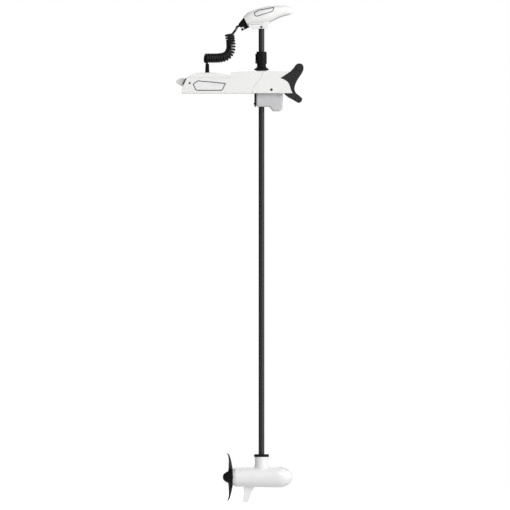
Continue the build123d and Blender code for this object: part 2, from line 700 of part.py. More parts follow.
# Lid of the gear case, with a tall boss for the hub's upper bush.
UPPER_BUSH_R = 21.0
UPPER_BUSH_LENGTH = 30.0
with BuildPart() as gear_case_lid:
    with BuildSketch(Plane.XY.offset(CASE_SEAM_Z + SEAT)):
        with Locations(((CASE_REAR_X + CASE_FRONT_X) / 2, 0)):
            RectangleRounded(CASE_FRONT_X - CASE_REAR_X, 2 * CASE_HALF, CASE_EDGE_R)
    extrude(amount=CASE_TOP - CASE_SEAM_Z, taper=3)
    fillet(gear_case_lid.faces().sort_by(Axis.Z)[-1].edges(), 6)
    with BuildSketch(Plane.XY.offset(CASE_SEAM_Z - 1)):
        with Locations(((CASE_REAR_X + CASE_FRONT_X) / 2, 0)):
            RectangleRounded(CASE_FRONT_X - CASE_REAR_X - 14, 2 * CASE_HALF - 14, 8)
    extrude(amount=CASE_TOP - CASE_SEAM_Z - 7, mode=Mode.SUBTRACT)
    with Locations((SHAFT_X, 0, BOSS_TOP)):
        boss_height = UPPER_BUSH_LENGTH + 2
        Cylinder(UPPER_BUSH_R + 4, boss_height, align=(Align.CENTER, Align.CENTER, Align.MAX))
    with Locations((SHAFT_X, 0, BOSS_TOP)):
        Cylinder(UPPER_BUSH_R + SEAT, 100, mode=Mode.SUBTRACT)
save(gear_case_lid, "gear_case_lid")

# Plain bushes: two on the tilt pin in the yoke's arms, two round the hub in the gear case.
with BuildPart() as steering_bushes:
    arm_width = YOKE_ARM_OUT - YOKE_ARM_IN
    with Locations(across(PIVOT_X, PIVOT_Z, -(YOKE_ARM_OUT + YOKE_ARM_IN) / 2)):
        Cylinder(TILT_PIN_D / 2 + TILT_BUSH_WALL, arm_width)
        Cylinder(TILT_PIN_D / 2 + RUN, arm_width, mode=Mode.SUBTRACT)
    mirror(about=Plane.XZ)
    with Locations((SHAFT_X, 0, LOWER_BUSH_Z)):
        Cylinder(LOWER_BUSH_R, LOWER_BUSH_LENGTH, align=(Align.CENTER, Align.CENTER, Align.MIN))
    with Locations((SHAFT_X, 0, BOSS_TOP)):
        Cylinder(UPPER_BUSH_R, UPPER_BUSH_LENGTH, align=(Align.CENTER, Align.CENTER, Align.MAX))
    with Locations((SHAFT_X, 0, 0)):
        Cylinder(HUB_R + RUN, 400, mode=Mode.SUBTRACT)
save(steering_bushes, "steering_bushes")

# Lip seal where the shaft leaves the bottom of the case.
with BuildPart() as shaft_seal:
    with Locations((SHAFT_X, 0, CASE_BOTTOM)):
        Cylinder(SEAL_R, CASE_WALL, align=(Align.CENTER, Align.CENTER, Align.MIN))
        Cylinder(SHAFT_R + GAP, 3 * CASE_WALL, mode=Mode.SUBTRACT)
save(shaft_seal, "shaft_seal")

# Screws: four through the yoke plate into the case.
with BuildPart() as case_screws:
    for y, z in yoke_screw_places:
        with Locations(along(YOKE_PLATE_X - 1.5 - SEAT, y, z)):
            Cylinder(4.5, 3)
        with Locations(along(YOKE_PLATE_X - SEAT, y, z)):
            Cylinder(
                SCREW_D / 2,
                YOKE_PLATE_THICK + CASE_WALL + 2,
                align=(Align.CENTER, Align.CENTER, Align.MIN),
            )
save(case_screws, "case_screws")

# ---- the steering gear train --------------------------------------------------------------
# hub gear on the shaft axis, an idler beside it and the pinion of the steering motor ahead
HUB_PITCH_R = GEAR_MODULE * HUB_TEETH / 2
IDLER_PITCH_R = GEAR_MODULE * IDLER_TEETH / 2
PINION_PITCH_R = GEAR_MODULE * PINION_TEETH / 2
hub_to_idler = HUB_PITCH_R + IDLER_PITCH_R
idler_to_pinion = IDLER_PITCH_R + PINION_PITCH_R
hub_to_pinion = MOTOR_X - SHAFT_X
idler_along = (hub_to_idler**2 - idler_to_pinion**2 + hub_to_pinion**2) / (2 * hub_to_pinion)
idler_aside = sqrt(hub_to_idler**2 - idler_along**2)
IDLER_X = SHAFT_X + idler_along
IDLER_Y = idler_aside
GEAR_Z = GEAR_PLATE_Z + GEAR_PLATE_THICK + 1.0
to_idler = degrees(atan2(idler_aside, idler_along))
to_pinion = degrees(atan2(-idler_aside, hub_to_pinion - idler_along))
hub_phase = to_idler
idler_phase = to_idler + 180 + 180 / IDLER_TEETH
idler_offset = (to_pinion - idler_phase) % (360 / IDLER_TEETH)
pinion_phase = to_pinion + 180 + 180 / PINION_TEETH + idler_offset * IDLER_TEETH / PINION_TEETH


def gear_outline(teeth, phase, x, y):
    """Straight-flanked teeth round the axis at x, y, the first one at the phase angle."""
    pitch_r = GEAR_MODULE * teeth / 2
    tip_r = pitch_r + 0.8 * GEAR_MODULE
    root_r = pitch_r - 1.2 * GEAR_MODULE
    pitch = 360 / teeth
    points = []
    for tooth in range(teeth):
        middle = phase + tooth * pitch
        for share, radius in ((-0.31, root_r), (-0.12, tip_r), (0.12, tip_r), (0.31, root_r)):
            angle = radians(middle + share * pitch)
            points.append((x + radius * cos(angle), y + radius * sin(angle)))
    return points


def gear_face(teeth, phase, x, y, bore_r):
    """The section of a flat gear at x, y on the gear plane."""
    with BuildSketch(Plane.XY.offset(GEAR_Z)) as face:
        with BuildLine():
            Polyline(gear_outline(teeth, phase, x, y), close=True)
        make_face()
        if bore_r:
            with Locations((x, y)):
                Circle(bore_r, mode=Mode.SUBTRACT)
    return face.sketch


with BuildPart() as hub_gear:
    extrude(gear_face(HUB_TEETH, hub_phase, SHAFT_X, 0, HUB_R + SEAT), amount=GEAR_THICK)
save(hub_gear, "hub_gear")

IDLER_PIN_R = 4.0
with BuildPart() as idler_gear:
    extrude(gear_face(IDLER_TEETH, idler_phase, IDLER_X, IDLER_Y, IDLER_PIN_R + RUN), amount=GEAR_THICK)
save(idler_gear, "idler_gear")

MOTOR_SHAFT_R = 3.5
with BuildPart() as motor_pinion:
    extrude(gear_face(PINION_TEETH, pinion_phase, MOTOR_X, 0, 0), amount=GEAR_THICK)
    with Locations((MOTOR_X, 0, GEAR_Z)):
        Cylinder(MOTOR_SHAFT_R, 14, align=(Align.CENTER, Align.CENTER, Align.MAX))
save(motor_pinion, "motor_pinion")

# Gear plate, which carries the steering motor, and the pin of the idler pressed into it.
with BuildPart() as gear_plate:
    with BuildSketch(Plane.XY.offset(GEAR_PLATE_Z)):
        plate_front = CASE_FRONT_X - CASE_WALL - 2.5
        plate_rear = CASE_REAR_X + CASE_WALL + SEAT
        with Locations(((plate_rear + plate_front) / 2, 0)):
            Rectangle(plate_front - plate_rear, 2 * (CASE_HALF - CASE_SIDE_WALL - SEAT))
        with Locations((SHAFT_X, 0)):
            Circle(HUB_R + 2, mode=Mode.SUBTRACT)
        with Locations((MOTOR_X, 0)):
            Circle(MOTOR_SHAFT_R + 0.5, mode=Mode.SUBTRACT)
        with Locations((IDLER_X, IDLER_Y)):
            Circle(IDLER_PIN_R + SEAT, mode=Mode.SUBTRACT)
    extrude(amount=GEAR_PLATE_THICK)
    with Locations((IDLER_X, IDLER_Y, GEAR_PLATE_Z - 3)):
        pin_length = GEAR_Z - GEAR_PLATE_Z + GEAR_THICK + 6
        Cylinder(IDLER_PIN_R, pin_length, align=(Align.CENTER, Align.CENTER, Align.MIN))
    with Locations((IDLER_X, IDLER_Y, GEAR_Z + GEAR_THICK + GAP)):
        Cylinder(IDLER_PIN_R + 2.5, 1.5, align=(Align.CENTER, Align.CENTER, Align.MIN))
save(gear_plate, "gear_plate")

with BuildPart() as steering_motor:
    with Locations((MOTOR_X, 0, GEAR_PLATE_Z - SEAT)):
        Cylinder(STEER_MOTOR_R, STEER_MOTOR_LENGTH, align=(Align.CENTER, Align.CENTER, Align.MAX))
    fillet(steering_motor.edges().group_by(Axis.Z)[0], 3)
    with Locations((MOTOR_X, 0, GEAR_PLATE_Z)):
        Cylinder(MOTOR_SHAFT_R + 0.5, 32, mode=Mode.SUBTRACT)
save(steering_motor, "steering_motor")

# ==== the hub, which turns in the gear case ================================================

with BuildPart() as steering_hub:
    with BuildSketch(Plane.XZ):
        with BuildLine():
            Polyline(
                (SHAFT_X + HUB_BORE_R, HUB_BOTTOM),
                (SHAFT_X + HUB_R, HUB_BOTTOM),
                (SHAFT_X + HUB_R, FLANGE_Z),
                (SHAFT_X + FLANGE_R - 1, FLANGE_Z),
                (SHAFT_X + FLANGE_R, FLANGE_Z + 1),
                (SHAFT_X + FLANGE_R, FLANGE_Z + 6),
                (SHAFT_X + FLANGE_R - 3, FLANGE_Z + 9),
                (SHAFT_X + NECK_R + 4, NECK_Z),
                (SHAFT_X + NECK_R, NECK_Z + 6),
                (SHAFT_X + NECK_R, COLLAR_Z),
                (SHAFT_X + SLEEVE_R, COLLAR_Z),
                (SHAFT_X + SLEEVE_R, COLLAR_TOP - 2),
                (SHAFT_X + HUB_BORE_R, COLLAR_TOP - 2),
                close=True,
            )
        make_face()
    revolve(axis=Axis((SHAFT_X, 0, 0), (0, 0, 1)))
save(steering_hub, "steering_hub")

# Two plain bushes inside the hub that the shaft slides and is guided in.
SHAFT_BUSH_LENGTH = 24.0
with BuildPart() as shaft_bushes:
    for z in (HUB_BOTTOM, COLLAR_TOP - 2 - SHAFT_BUSH_LENGTH):
        with Locations((SHAFT_X, 0, z)):
            Cylinder(HUB_BORE_R - SEAT, SHAFT_BUSH_LENGTH, align=(Align.CENTER, Align.CENTER, Align.MIN))
    with Locations((SHAFT_X, 0, 0)):
        Cylinder(SHAFT_R + RUN, 600, mode=Mode.SUBTRACT)
save(shaft_bushes, "shaft_bushes")

# Depth collar: two half rings round the hub's sleeve, with knuckles behind for the cam lever
# that clamps them.
COLLAR_GAP = 1.2
COLLAR_STEP = 8.0
KNUCKLE_X = SHAFT_X - COLLAR_R - 2.0
KNUCKLE_Y = -14.0
KNUCKLE_R = 3.0
KNUCKLE_THICK = 5.0
KNUCKLE_PIN_R = 1.5
KNUCKLE_LOW = COLLAR_Z + 6.0
KNUCKLE_HIGH = COLLAR_TOP - COLLAR_STEP - 6.0
with BuildPart() as collar_front:
    with BuildSketch(Plane.XY.offset(COLLAR_Z + SEAT)):
        with Locations((SHAFT_X, 0)):
            Circle(COLLAR_R)
    extrude(amount=COLLAR_TOP - COLLAR_Z - COLLAR_STEP - SEAT)
    with BuildSketch(Plane.XY.offset(COLLAR_TOP - COLLAR_STEP)):
        with Locations((SHAFT_X, 0)):
            Circle(COLLAR_R - 1.5)
    extrude(amount=COLLAR_STEP)
    with Locations((SHAFT_X, 0, COLLAR_Z)):
        Cylinder(SLEEVE_R + SEAT, 200, mode=Mode.SUBTRACT)
    split(bisect_by=Plane.YZ.offset(SHAFT_X + COLLAR_GAP / 2), keep=Keep.TOP)
save(collar_front, "collar_front")

with BuildPart() as collar_rear:
    add(mirror(collar_front.part, about=Plane.YZ.offset(SHAFT_X)))
    with Locations((KNUCKLE_X + 2, KNUCKLE_Y, KNUCKLE_LOW), (KNUCKLE_X + 2, KNUCKLE_Y, KNUCKLE_HIGH)):
        Box(10, 2 * KNUCKLE_R, KNUCKLE_THICK)
    with Locations((KNUCKLE_X, KNUCKLE_Y, COLLAR_TOP)):
        Cylinder(KNUCKLE_PIN_R + SEAT, 200, mode=Mode.SUBTRACT)
save(collar_rear, "collar_rear")

with BuildPart() as collar_lever_pin:
    with Locations((KNUCKLE_X, KNUCKLE_Y, (KNUCKLE_LOW + KNUCKLE_HIGH) / 2)):
        Cylinder(KNUCKLE_PIN_R, KNUCKLE_HIGH - KNUCKLE_LOW + KNUCKLE_THICK)
save(collar_lever_pin, "collar_lever_pin")

# Collar lever: lies across the back of the collar between the knuckles.
with BuildPart() as collar_lever:
    lever_height = KNUCKLE_HIGH - KNUCKLE_LOW - KNUCKLE_THICK - 2 * GAP
    with Locations((KNUCKLE_X, KNUCKLE_Y, (KNUCKLE_LOW + KNUCKLE_HIGH) / 2)):
        Cylinder(KNUCKLE_R - 1, lever_height)
        with Locations((0, 12, 0)):
            Box(2.8, 24, lever_height)
    fillet(collar_lever.faces().sort_by(Axis.Y)[-1].edges().filter_by(Axis.X), 4)
    with Locations((KNUCKLE_X, KNUCKLE_Y, COLLAR_TOP)):
        Cylinder(KNUCKLE_PIN_R + RUN, 200, mode=Mode.SUBTRACT)
save(collar_lever, "collar_lever")

# ==== the shaft, which slides and turns with the head and the lower unit ====================

with BuildPart() as shaft_tube:
    with Locations((SHAFT_X, 0, SHAFT_BOTTOM)):
        Cylinder(SHAFT_R, SHAFT_TOP - SHAFT_BOTTOM, align=(Align.CENTER, Align.CENTER, Align.MIN))
        Cylinder(
            SHAFT_R - SHAFT_WALL,
            SHAFT_TOP - SHAFT_BOTTOM,
            align=(Align.CENTER, Align.CENTER, Align.MIN),
            mode=Mode.SUBTRACT,
        )
    with Locations(across(SHAFT_X, HEAD_BOLT_Z)):
        Cylinder(HEAD_BOLT_D / 2 + SEAT, 4 * SHAFT_R, mode=Mode.SUBTRACT)
save(shaft_tube, "shaft_tube")

BOARD_Z = 354.0
CABLE_BOTTOM = -1838.0
with BuildPart() as shaft_cable:
    with Locations((SHAFT_X + CABLE_OFFSET, 0, CABLE_BOTTOM)):
        Cylinder(CABLE_R, BOARD_Z - CABLE_BOTTOM - SEAT, align=(Align.CENTER, Align.CENTER, Align.MIN))
save(shaft_cable, "shaft_cable")

# ---- the head ------------------------------------------------------------------------------
# Sections across the head: place from the shaft axis, underside, top and half width.
head_sections = [
    (-104, 334, 372, 30),
    (-70, 336, 394, 42),
    (-30, 338, 412, 48),
    (10, 341, 423.5, 50),
    (50, 354.5, 429.5, 47),
    (90, 375.5, 431, 40),
    (120, 384, 429.5, 32.5),
    (140, 387.5, 423.5, 24.5),
    (150, 391, 417.5, 17),
    (156, 397, 411, 9),
]
CORNER_SHARE = 0.42     # radius of a section's corners, against its shorter side
rear_plane = Plane(
    origin=(SHAFT_X - 76.5, 0, 351), x_dir=(0, 1, 0), z_dir=(-0.91, 0, -0.415)
)
seam_rear = [(-130, 328), (-60, 336), (8, 340), (34, 347.5)]
seam_nose = [(50, 359.5), (66, 369.5), (96, 383), (130, 391.5), (165, 398)]
head_seam = from_shaft(seam_rear + seam_nose)


def head_loft(wall):
    """The head's whole form, or its cavity when a wall is given."""
    with BuildPart() as form:
        sections = head_sections[:-2] if wall else head_sections
        for x, low, high, half_width in sections:
            width = 2 * (half_width - wall)
            height = high - low - 2 * wall
            with BuildSketch(Plane.YZ.offset(SHAFT_X + x)):
                with Locations((0, (low + high) / 2)):
                    RectangleRounded(width, height, CORNER_SHARE * min(width, height))
        loft()
        split(bisect_by=rear_plane.offset(-wall), keep=Keep.BOTTOM)
    return form.part


head_form = head_loft(0)
head_cavity = head_loft(HEAD_WALL)

with BuildPart() as above_seam:
    with BuildSketch(Plane.XZ):
        with BuildLine():
            Polyline(head_seam + from_shaft([(165, 460), (-130, 460)]), close=True)
        make_face()
    extrude(amount=80, both=True)

with BuildPart() as head_cover:
    add(head_form)
    add(head_cavity, mode=Mode.SUBTRACT)
    add(above_seam.part, mode=Mode.INTERSECT)
    with Locations((SHAFT_X, 0, SHAFT_TOP)):
        Cylinder(SHAFT_R, 20, mode=Mode.SUBTRACT)
save(head_cover, "head_cover")

BASE_HALF = 34.0
with BuildPart() as head_base:
    with BuildSketch(Plane.XZ):
        with BuildLine():
            Polyline(
                from_shaft(
                    [
                        (29.4, HEAD_BASE_Z),
                        (-49, HEAD_BASE_Z),
                        (-56, HEAD_BASE_Z + 8),
                        (-66, HEAD_BASE_Z + 20),
                        (-66, HEAD_BASE_Z + 35),
                        (34, HEAD_BASE_Z + 39),
                        (38, HEAD_BASE_Z + 32),
                    ]
                ),
                close=True,
            )
        make_face()
    extrude(amount=BASE_HALF, both=True)
    fillet(head_base.edges().filter_by(Axis.Z), 10)
    add(head_form, mode=Mode.SUBTRACT)
    with BuildPart(mode=Mode.PRIVATE) as nose_floor:
        add(head_form)
        add(head_cavity, mode=Mode.SUBTRACT)
        add(above_seam.part, mode=Mode.SUBTRACT)
    add(nose_floor.part)
    with Locations((SHAFT_X, 0, HEAD_BASE_Z)):
        Cylinder(SHAFT_R + SEAT, 100, mode=Mode.SUBTRACT)
    with Locations(across(SHAFT_X, HEAD_BOLT_Z)):
        Cylinder(HEAD_BOLT_D / 2 + SEAT, 4 * BASE_HALF, mode=Mode.SUBTRACT)
save(head_base, "head_base")

with BuildPart() as head_bolt:
    with Locations(across(SHAFT_X, HEAD_BOLT_Z)):
        Cylinder(HEAD_BOLT_D / 2, 2 * BASE_HALF + 8)
    with Locations(across(SHAFT_X, HEAD_BOLT_Z, -(BASE_HALF + SEAT + 1.5))):
        Cylinder(5.5, 3)
    with BuildSketch(side_plane(BASE_HALF + 5 + SEAT)):
        with Locations((SHAFT_X, HEAD_BOLT_Z)):
            RegularPolygon(5.5, 6)
            Circle(HEAD_BOLT_D / 2 + SEAT, mode=Mode.SUBTRACT)
    extrude(amount=5)
save(head_bolt, "head_bolt")

# Control board on two posts that stand on the floor of the head.
with BuildPart() as head_board:
    with Locations((SHAFT_X - 14, 0, BOARD_Z)):
        Box(84, 56, 2, align=(Align.CENTER, Align.CENTER, Align.MIN))
    with Locations((SHAFT_X - 45, 0, BOARD_Z), (SHAFT_X - 25, 0, BOARD_Z)):
        Cylinder(3, 16, align=(Align.CENTER, Align.CENTER, Align.MAX))
    with Locations((SHAFT_X - 30, 0, BOARD_Z + 2)):
        Box(30, 30, 12, align=(Align.CENTER, Align.CENTER, Align.MIN))
    add(head_loft(HEAD_WALL + GAP), mode=Mode.INTERSECT)
save(head_board, "head_board")

# Boot: the rubber hood at the back of the head that the cord comes out of.
boot_end = Plane(origin=(SHAFT_X - 109, 0, 331.5), x_dir=(0, 1, 0), z_dir=(-0.91, 0, -0.415))
aux_axis = Plane(origin=(SHAFT_X - 66, -15, 327.5), x_dir=(0, 1, 0), z_dir=(-0.89, 0, -0.457))
AUX_R = 6.2
with BuildPart() as cord_boot:
    with BuildSketch(rear_plane.offset(SEAT)):
        RectangleRounded(42, 48, 8)
    with BuildSketch(boot_end):
        RectangleRounded(23, 20, 6)
    loft()
    with BuildSketch(aux_axis.offset(-10)):
        Circle(AUX_R + 0.6)
    extrude(amount=60, mode=Mode.SUBTRACT)
save(cord_boot, "cord_boot")

# Spare connector beside the boot, with its push-on cap.
AUX_LENGTH = 22.0
AUX_NECK = 4.0
with BuildPart() as aux_cap:
    with BuildSketch(aux_axis.offset(AUX_LENGTH + AUX_NECK)):
        Circle(AUX_R)
    extrude(amount=11)
    fillet(aux_cap.faces().sort_by(Axis.X)[0].edges(), 2.5)
    with BuildSketch(aux_axis.offset(AUX_LENGTH)):
        Circle(AUX_R - 1.8 + SEAT)
    extrude(amount=AUX_NECK + 5 + SEAT, mode=Mode.SUBTRACT)
with BuildPart() as aux_connector:
    with BuildSketch(aux_axis.offset(-4)):
        Circle(AUX_R)
    extrude(amount=AUX_LENGTH + 4)
    with BuildSketch(aux_axis.offset(AUX_LENGTH)):
        Circle(AUX_R - 1.8)
    extrude(amount=AUX_NECK + 5)
    add(head_form, mode=Mode.SUBTRACT)
    add(head_base.part, mode=Mode.SUBTRACT)
    add(aux_cap.part)
save(aux_connector, "aux_connector")

# ---- the lower unit ------------------------------------------------------------------------
motor_axis = Axis((SHAFT_X, 0, MOTOR_Z), (1, 0, 0))
body_rear_x = SHAFT_X + BODY_REAR
body_length = BODY_FRONT - BODY_REAR


def motor_profile(points):
    """Places along the motor and radii round its axis, as points of an upright plane."""
    return [(SHAFT_X + x, MOTOR_Z + r) for x, r in points]


with BuildPart() as neck_ring:
    with Locations((SHAFT_X, 0, NECK_TOP_Z + SEAT)):
        Cylinder(RING_R, RING_TOP_Z - NECK_TOP_Z, align=(Align.CENTER, Align.CENTER, Align.MIN))
    fillet(neck_ring.edges(), 2)
    with Locations((SHAFT_X, 0, NECK_TOP_Z)):
        Cylinder(SHAFT_R + SEAT, 60, mode=Mode.SUBTRACT)
save(neck_ring, "neck_ring")

NECK_FILLET = 11.0
with BuildPart() as motor_housing:
    with BuildSketch(Plane.XZ):
        with BuildLine():
            taper = [(BODY_REAR, 0), (BODY_REAR, BODY_R), (BODY_FRONT, BODY_FRONT_R), (BODY_FRONT, 0)]
            Polyline(motor_profile(taper), close=True)
        make_face()
    revolve(axis=motor_axis)
    with Locations((SHAFT_X, 0, MOTOR_Z)):
        Cylinder(LOWER_NECK_R, NECK_TOP_Z - MOTOR_Z, align=(Align.CENTER, Align.CENTER, Align.MIN))
    neck_join = motor_housing.edges().filter_by(GeomType.BSPLINE)
    fillet(neck_join, NECK_FILLET)
    with BuildSketch(Plane.XZ):
        with BuildLine():
            Polyline(
                (SHAFT_X, NECK_TOP_Z - 16),
                (SHAFT_X + LOWER_NECK_R, NECK_TOP_Z - 16),
                (SHAFT_X + NECK_LIP_R - 0.5, NECK_TOP_Z - 7),
                (SHAFT_X + NECK_LIP_R, NECK_TOP_Z),
                (SHAFT_X, NECK_TOP_Z),
                close=True,
            )
        make_face()
    revolve(axis=Axis((SHAFT_X, 0, 0), (0, 0, 1)))
    with BuildSketch(Plane.XZ):
        with BuildLine():
            Polyline(
                from_shaft(
                    [
                        (-86, MOTOR_Z - BODY_R + 6),
                        (-28, MOTOR_Z - BODY_R + 3),
                        (-38, MOTOR_Z - BODY_R - 9),
                        (-49, MOTOR_Z - BODY_R - 30),
                        (-63, SKEG_BOTTOM + 9),
                        (-69, SKEG_BOTTOM),
                        (-92, SKEG_BOTTOM),
                    ]
                ),
                close=True,
            )
        make_face()
    extrude(amount=SKEG_THICK / 2, both=True)
    with Locations(along(body_rear_x, 0, MOTOR_Z)):
        Cylinder(
            BODY_R - BODY_WALL,
            body_length,
            align=(Align.CENTER, Align.CENTER, Align.MIN),
            mode=Mode.SUBTRACT,
        )
    with Locations((SHAFT_X, 0, SHAFT_BOTTOM)):
        Cylinder(SHAFT_R + SEAT, 100, align=(Align.CENTER, Align.CENTER, Align.MIN), mode=Mode.SUBTRACT)
    with Locations((SHAFT_X + CABLE_OFFSET, 0, MOTOR_Z)):
        Cylinder(CABLE_R + SEAT, 100, align=(Align.CENTER, Align.CENTER, Align.MIN), mode=Mode.SUBTRACT)
save(motor_housing, "motor_housing")

# Nose cone: a half ellipse turned round the motor axis, with pockets for the four long bolts,
# which stand in pairs above and below the axis.
BOLT_R = 2.5
BOLT_RING_R = BODY_R - BODY_WALL - BOLT_R - 0.5
BOLT_ANGLE = 32.0       # from the upright
BOLT_HEAD_X = 101.0
BOLT_POCKET_R = 5.4
BOLT_Y = BOLT_RING_R * sin(radians(BOLT_ANGLE))
BOLT_Z = BOLT_RING_R * cos(radians(BOLT_ANGLE))
bolt_places = [(y, MOTOR_Z + z) for y in (-BOLT_Y, BOLT_Y) for z in (-BOLT_Z, BOLT_Z)]
with BuildPart() as nose_cone:
    with BuildSketch(Plane.XZ):
        with BuildLine():
            nose = EllipticalCenterArc(
                (SHAFT_X + BODY_FRONT, MOTOR_Z),
                NOSE_TIP - BODY_FRONT,
                BODY_FRONT_R,
                start_angle=0,
                arc_size=90,
            )
            Polyline(nose @ 1, (SHAFT_X + BODY_FRONT, MOTOR_Z), nose @ 0)
        make_face()
    revolve(axis=motor_axis)
    with BuildSketch(Plane.XZ):
        with BuildLine():
            cavity = EllipticalCenterArc((SHAFT_X + BODY_FRONT, MOTOR_Z), 52, 33, start_angle=0, arc_size=90)
            Polyline(cavity @ 1, (SHAFT_X + BODY_FRONT, MOTOR_Z), cavity @ 0)
        make_face()
    revolve(axis=motor_axis, mode=Mode.SUBTRACT)
    with Locations([along(SHAFT_X + BODY_FRONT, y, z) for y, z in bolt_places]):
        Cylinder(BOLT_R + SEAT, 100, mode=Mode.SUBTRACT)
    with Locations([along(SHAFT_X + BOLT_HEAD_X, y, z) for y, z in bolt_places]):
        Cylinder(BOLT_POCKET_R, 60, align=(Align.CENTER, Align.CENTER, Align.MIN), mode=Mode.SUBTRACT)
save(nose_cone, "nose_cone")

with BuildPart() as prop_end_cap:
    with BuildSketch(Plane.XZ):
        with BuildLine():
            Polyline(
                motor_profile(
                    [
                        (BODY_REAR - SEAT, BODY_R),
                        (BODY_REAR - 4, BODY_R - 1),
                        (BODY_REAR - 9, BODY_R - 4),
                        (CAP_REAR, CAP_REAR_R),
                        (CAP_REAR, 10),
                        (BODY_REAR + 1, 10),
                        (BODY_REAR + 1, BEARING_R + SEAT),
                        (BODY_REAR + 12, BEARING_R + SEAT),
                        (BODY_REAR + 12, BEARING_R + 5),
                        (BODY_REAR + 4, BEARING_R + 8),
                        (BODY_REAR + 4, BODY_R - BODY_WALL - SEAT),
                        (BODY_REAR - SEAT, BODY_R - BODY_WALL - SEAT),
                    ]
                ),
                close=True,
            )
        make_face()
    revolve(axis=motor_axis)
    with Locations([along(body_rear_x - 6, y, z) for y, z in bolt_places]):
        Cylinder(BOLT_R + SEAT, 20, align=(Align.CENTER, Align.CENTER, Align.MIN), mode=Mode.SUBTRACT)
save(prop_end_cap, "prop_end_cap")

with BuildPart() as prop_seal:
    with Locations(along(SHAFT_X + CAP_REAR + 1, 0, MOTOR_Z)):
        Cylinder(10 - SEAT, 11, align=(Align.CENTER, Align.CENTER, Align.MIN))
        Cylinder(PROP_SHAFT_R + 0.3, 60, mode=Mode.SUBTRACT)
save(prop_seal, "prop_seal")

# Long bolts that pull the nose cone, the housing and the end cap together.
with BuildPart() as through_bolts:
    with Locations([along(body_rear_x - 4, y, z) for y, z in bolt_places]):
        Cylinder(BOLT_R, BOLT_HEAD_X + SEAT - BODY_REAR + 4, align=(Align.CENTER, Align.CENTER, Align.MIN))
    with Locations([along(SHAFT_X + BOLT_HEAD_X + SEAT, y, z) for y, z in bolt_places]):
        Cylinder(4.5, 3, align=(Align.CENTER, Align.CENTER, Align.MIN))
save(through_bolts, "through_bolts")

# Permanent magnets: two arcs against the housing's wall, apart at the bolts.
MAGNET_REAR = -100.0
MAGNET_LENGTH = 90.0
with BuildPart() as magnets:
    with Locations(along(SHAFT_X + MAGNET_REAR, 0, MOTOR_Z)):
        Cylinder(BODY_R - BODY_WALL - SEAT, MAGNET_LENGTH, align=(Align.CENTER, Align.CENTER, Align.MIN))
        Cylinder(
            BODY_R - BODY_WALL - MAGNET_THICK,
            2 * MAGNET_LENGTH + 10,
            mode=Mode.SUBTRACT,
        )
    with Locations((SHAFT_X + MAGNET_REAR + MAGNET_LENGTH / 2, 0, MOTOR_Z)):
        Box(MAGNET_LENGTH + 2, 2 * (BOLT_Y + BOLT_R + 1.5), 4 * BODY_R, mode=Mode.SUBTRACT)
save(magnets, "magnets")

# Brush gear: a disc with the front bearing's boss and two brush holders, and the brushes in them.
PLATE_X = 40.0
BRUSH_X = 8.0
COMMUTATOR_R = 18.0
HOLDER_OUTSIDE = BODY_R - BODY_WALL - 4.5
HOLDER_DEPTH = 14.0
BRUSH_OUTSIDE = HOLDER_OUTSIDE - 1.5
with BuildPart() as brush_gear:
    with Locations(along(SHAFT_X + PLATE_X, 0, MOTOR_Z)):
        Cylinder(BODY_R - BODY_WALL - SEAT, 5, align=(Align.CENTER, Align.CENTER, Align.MIN))
        Cylinder(BEARING_R + 4, BEARING_WIDTH + 2, align=(Align.CENTER, Align.CENTER, Align.MIN))
    holder_y = HOLDER_OUTSIDE - HOLDER_DEPTH / 2
    with Locations([(SHAFT_X + PLATE_X / 2 + 1, y, MOTOR_Z) for y in (holder_y, -holder_y)]):
        Box(PLATE_X + 2, HOLDER_DEPTH, 18)
    with Locations((SHAFT_X + BRUSH_X, 0, MOTOR_Z)):
        Box(12 + 2 * SEAT, 100, 10 + 2 * SEAT, mode=Mode.SUBTRACT)
    with Locations(along(SHAFT_X + PLATE_X, 0, MOTOR_Z)):
        Cylinder(BEARING_R + SEAT, 60, mode=Mode.SUBTRACT)
    with Locations([along(SHAFT_X + PLATE_X, y, z) for y, z in bolt_places]):
        Cylinder(BOLT_R + SEAT, 40, mode=Mode.SUBTRACT)
    with BuildPart(mode=Mode.PRIVATE) as brushes:
        brush_length = BRUSH_OUTSIDE - COMMUTATOR_R - 0.3
        with Locations((SHAFT_X + BRUSH_X, BRUSH_OUTSIDE - brush_length / 2, MOTOR_Z)):
            Box(12, brush_length, 10)
        mirror(about=Plane.XZ)
        with Locations(along(SHAFT_X + BRUSH_X, 0, MOTOR_Z)):
            Cylinder(COMMUTATOR_R + 0.3, 40, mode=Mode.SUBTRACT)
    add(brushes.part)
save(brush_gear, "brush_gear")

with BuildPart() as shaft_bearings:
    for x in (BODY_REAR + 1.5, PLATE_X + 1):
        with Locations(along(SHAFT_X + x, 0, MOTOR_Z)):
            Cylinder(BEARING_R, BEARING_WIDTH, align=(Align.CENTER, Align.CENTER, Align.MIN))
    with Locations(along(SHAFT_X, 0, MOTOR_Z)):
        Cylinder(PROP_SHAFT_R + RUN, 600, mode=Mode.SUBTRACT)
save(shaft_bearings, "shaft_bearings")

# ==== the propeller and all that turns with it ==============================================

PROP_SHAFT_REAR = -180.0
PROP_SHAFT_FRONT = 53.0
DRIVE_PIN_X = -146.0
DRIVE_PIN_R = 2.5
with BuildPart() as prop_shaft:
    with Locations(along(SHAFT_X + PROP_SHAFT_REAR, 0, MOTOR_Z)):
        Cylinder(
            PROP_SHAFT_R,
            PROP_SHAFT_FRONT - PROP_SHAFT_REAR,
            align=(Align.CENTER, Align.CENTER, Align.MIN),
        )
    with Locations(across(SHAFT_X + DRIVE_PIN_X, MOTOR_Z)):
        Cylinder(DRIVE_PIN_R + SEAT, 60, mode=Mode.SUBTRACT)
save(prop_shaft, "prop_shaft")

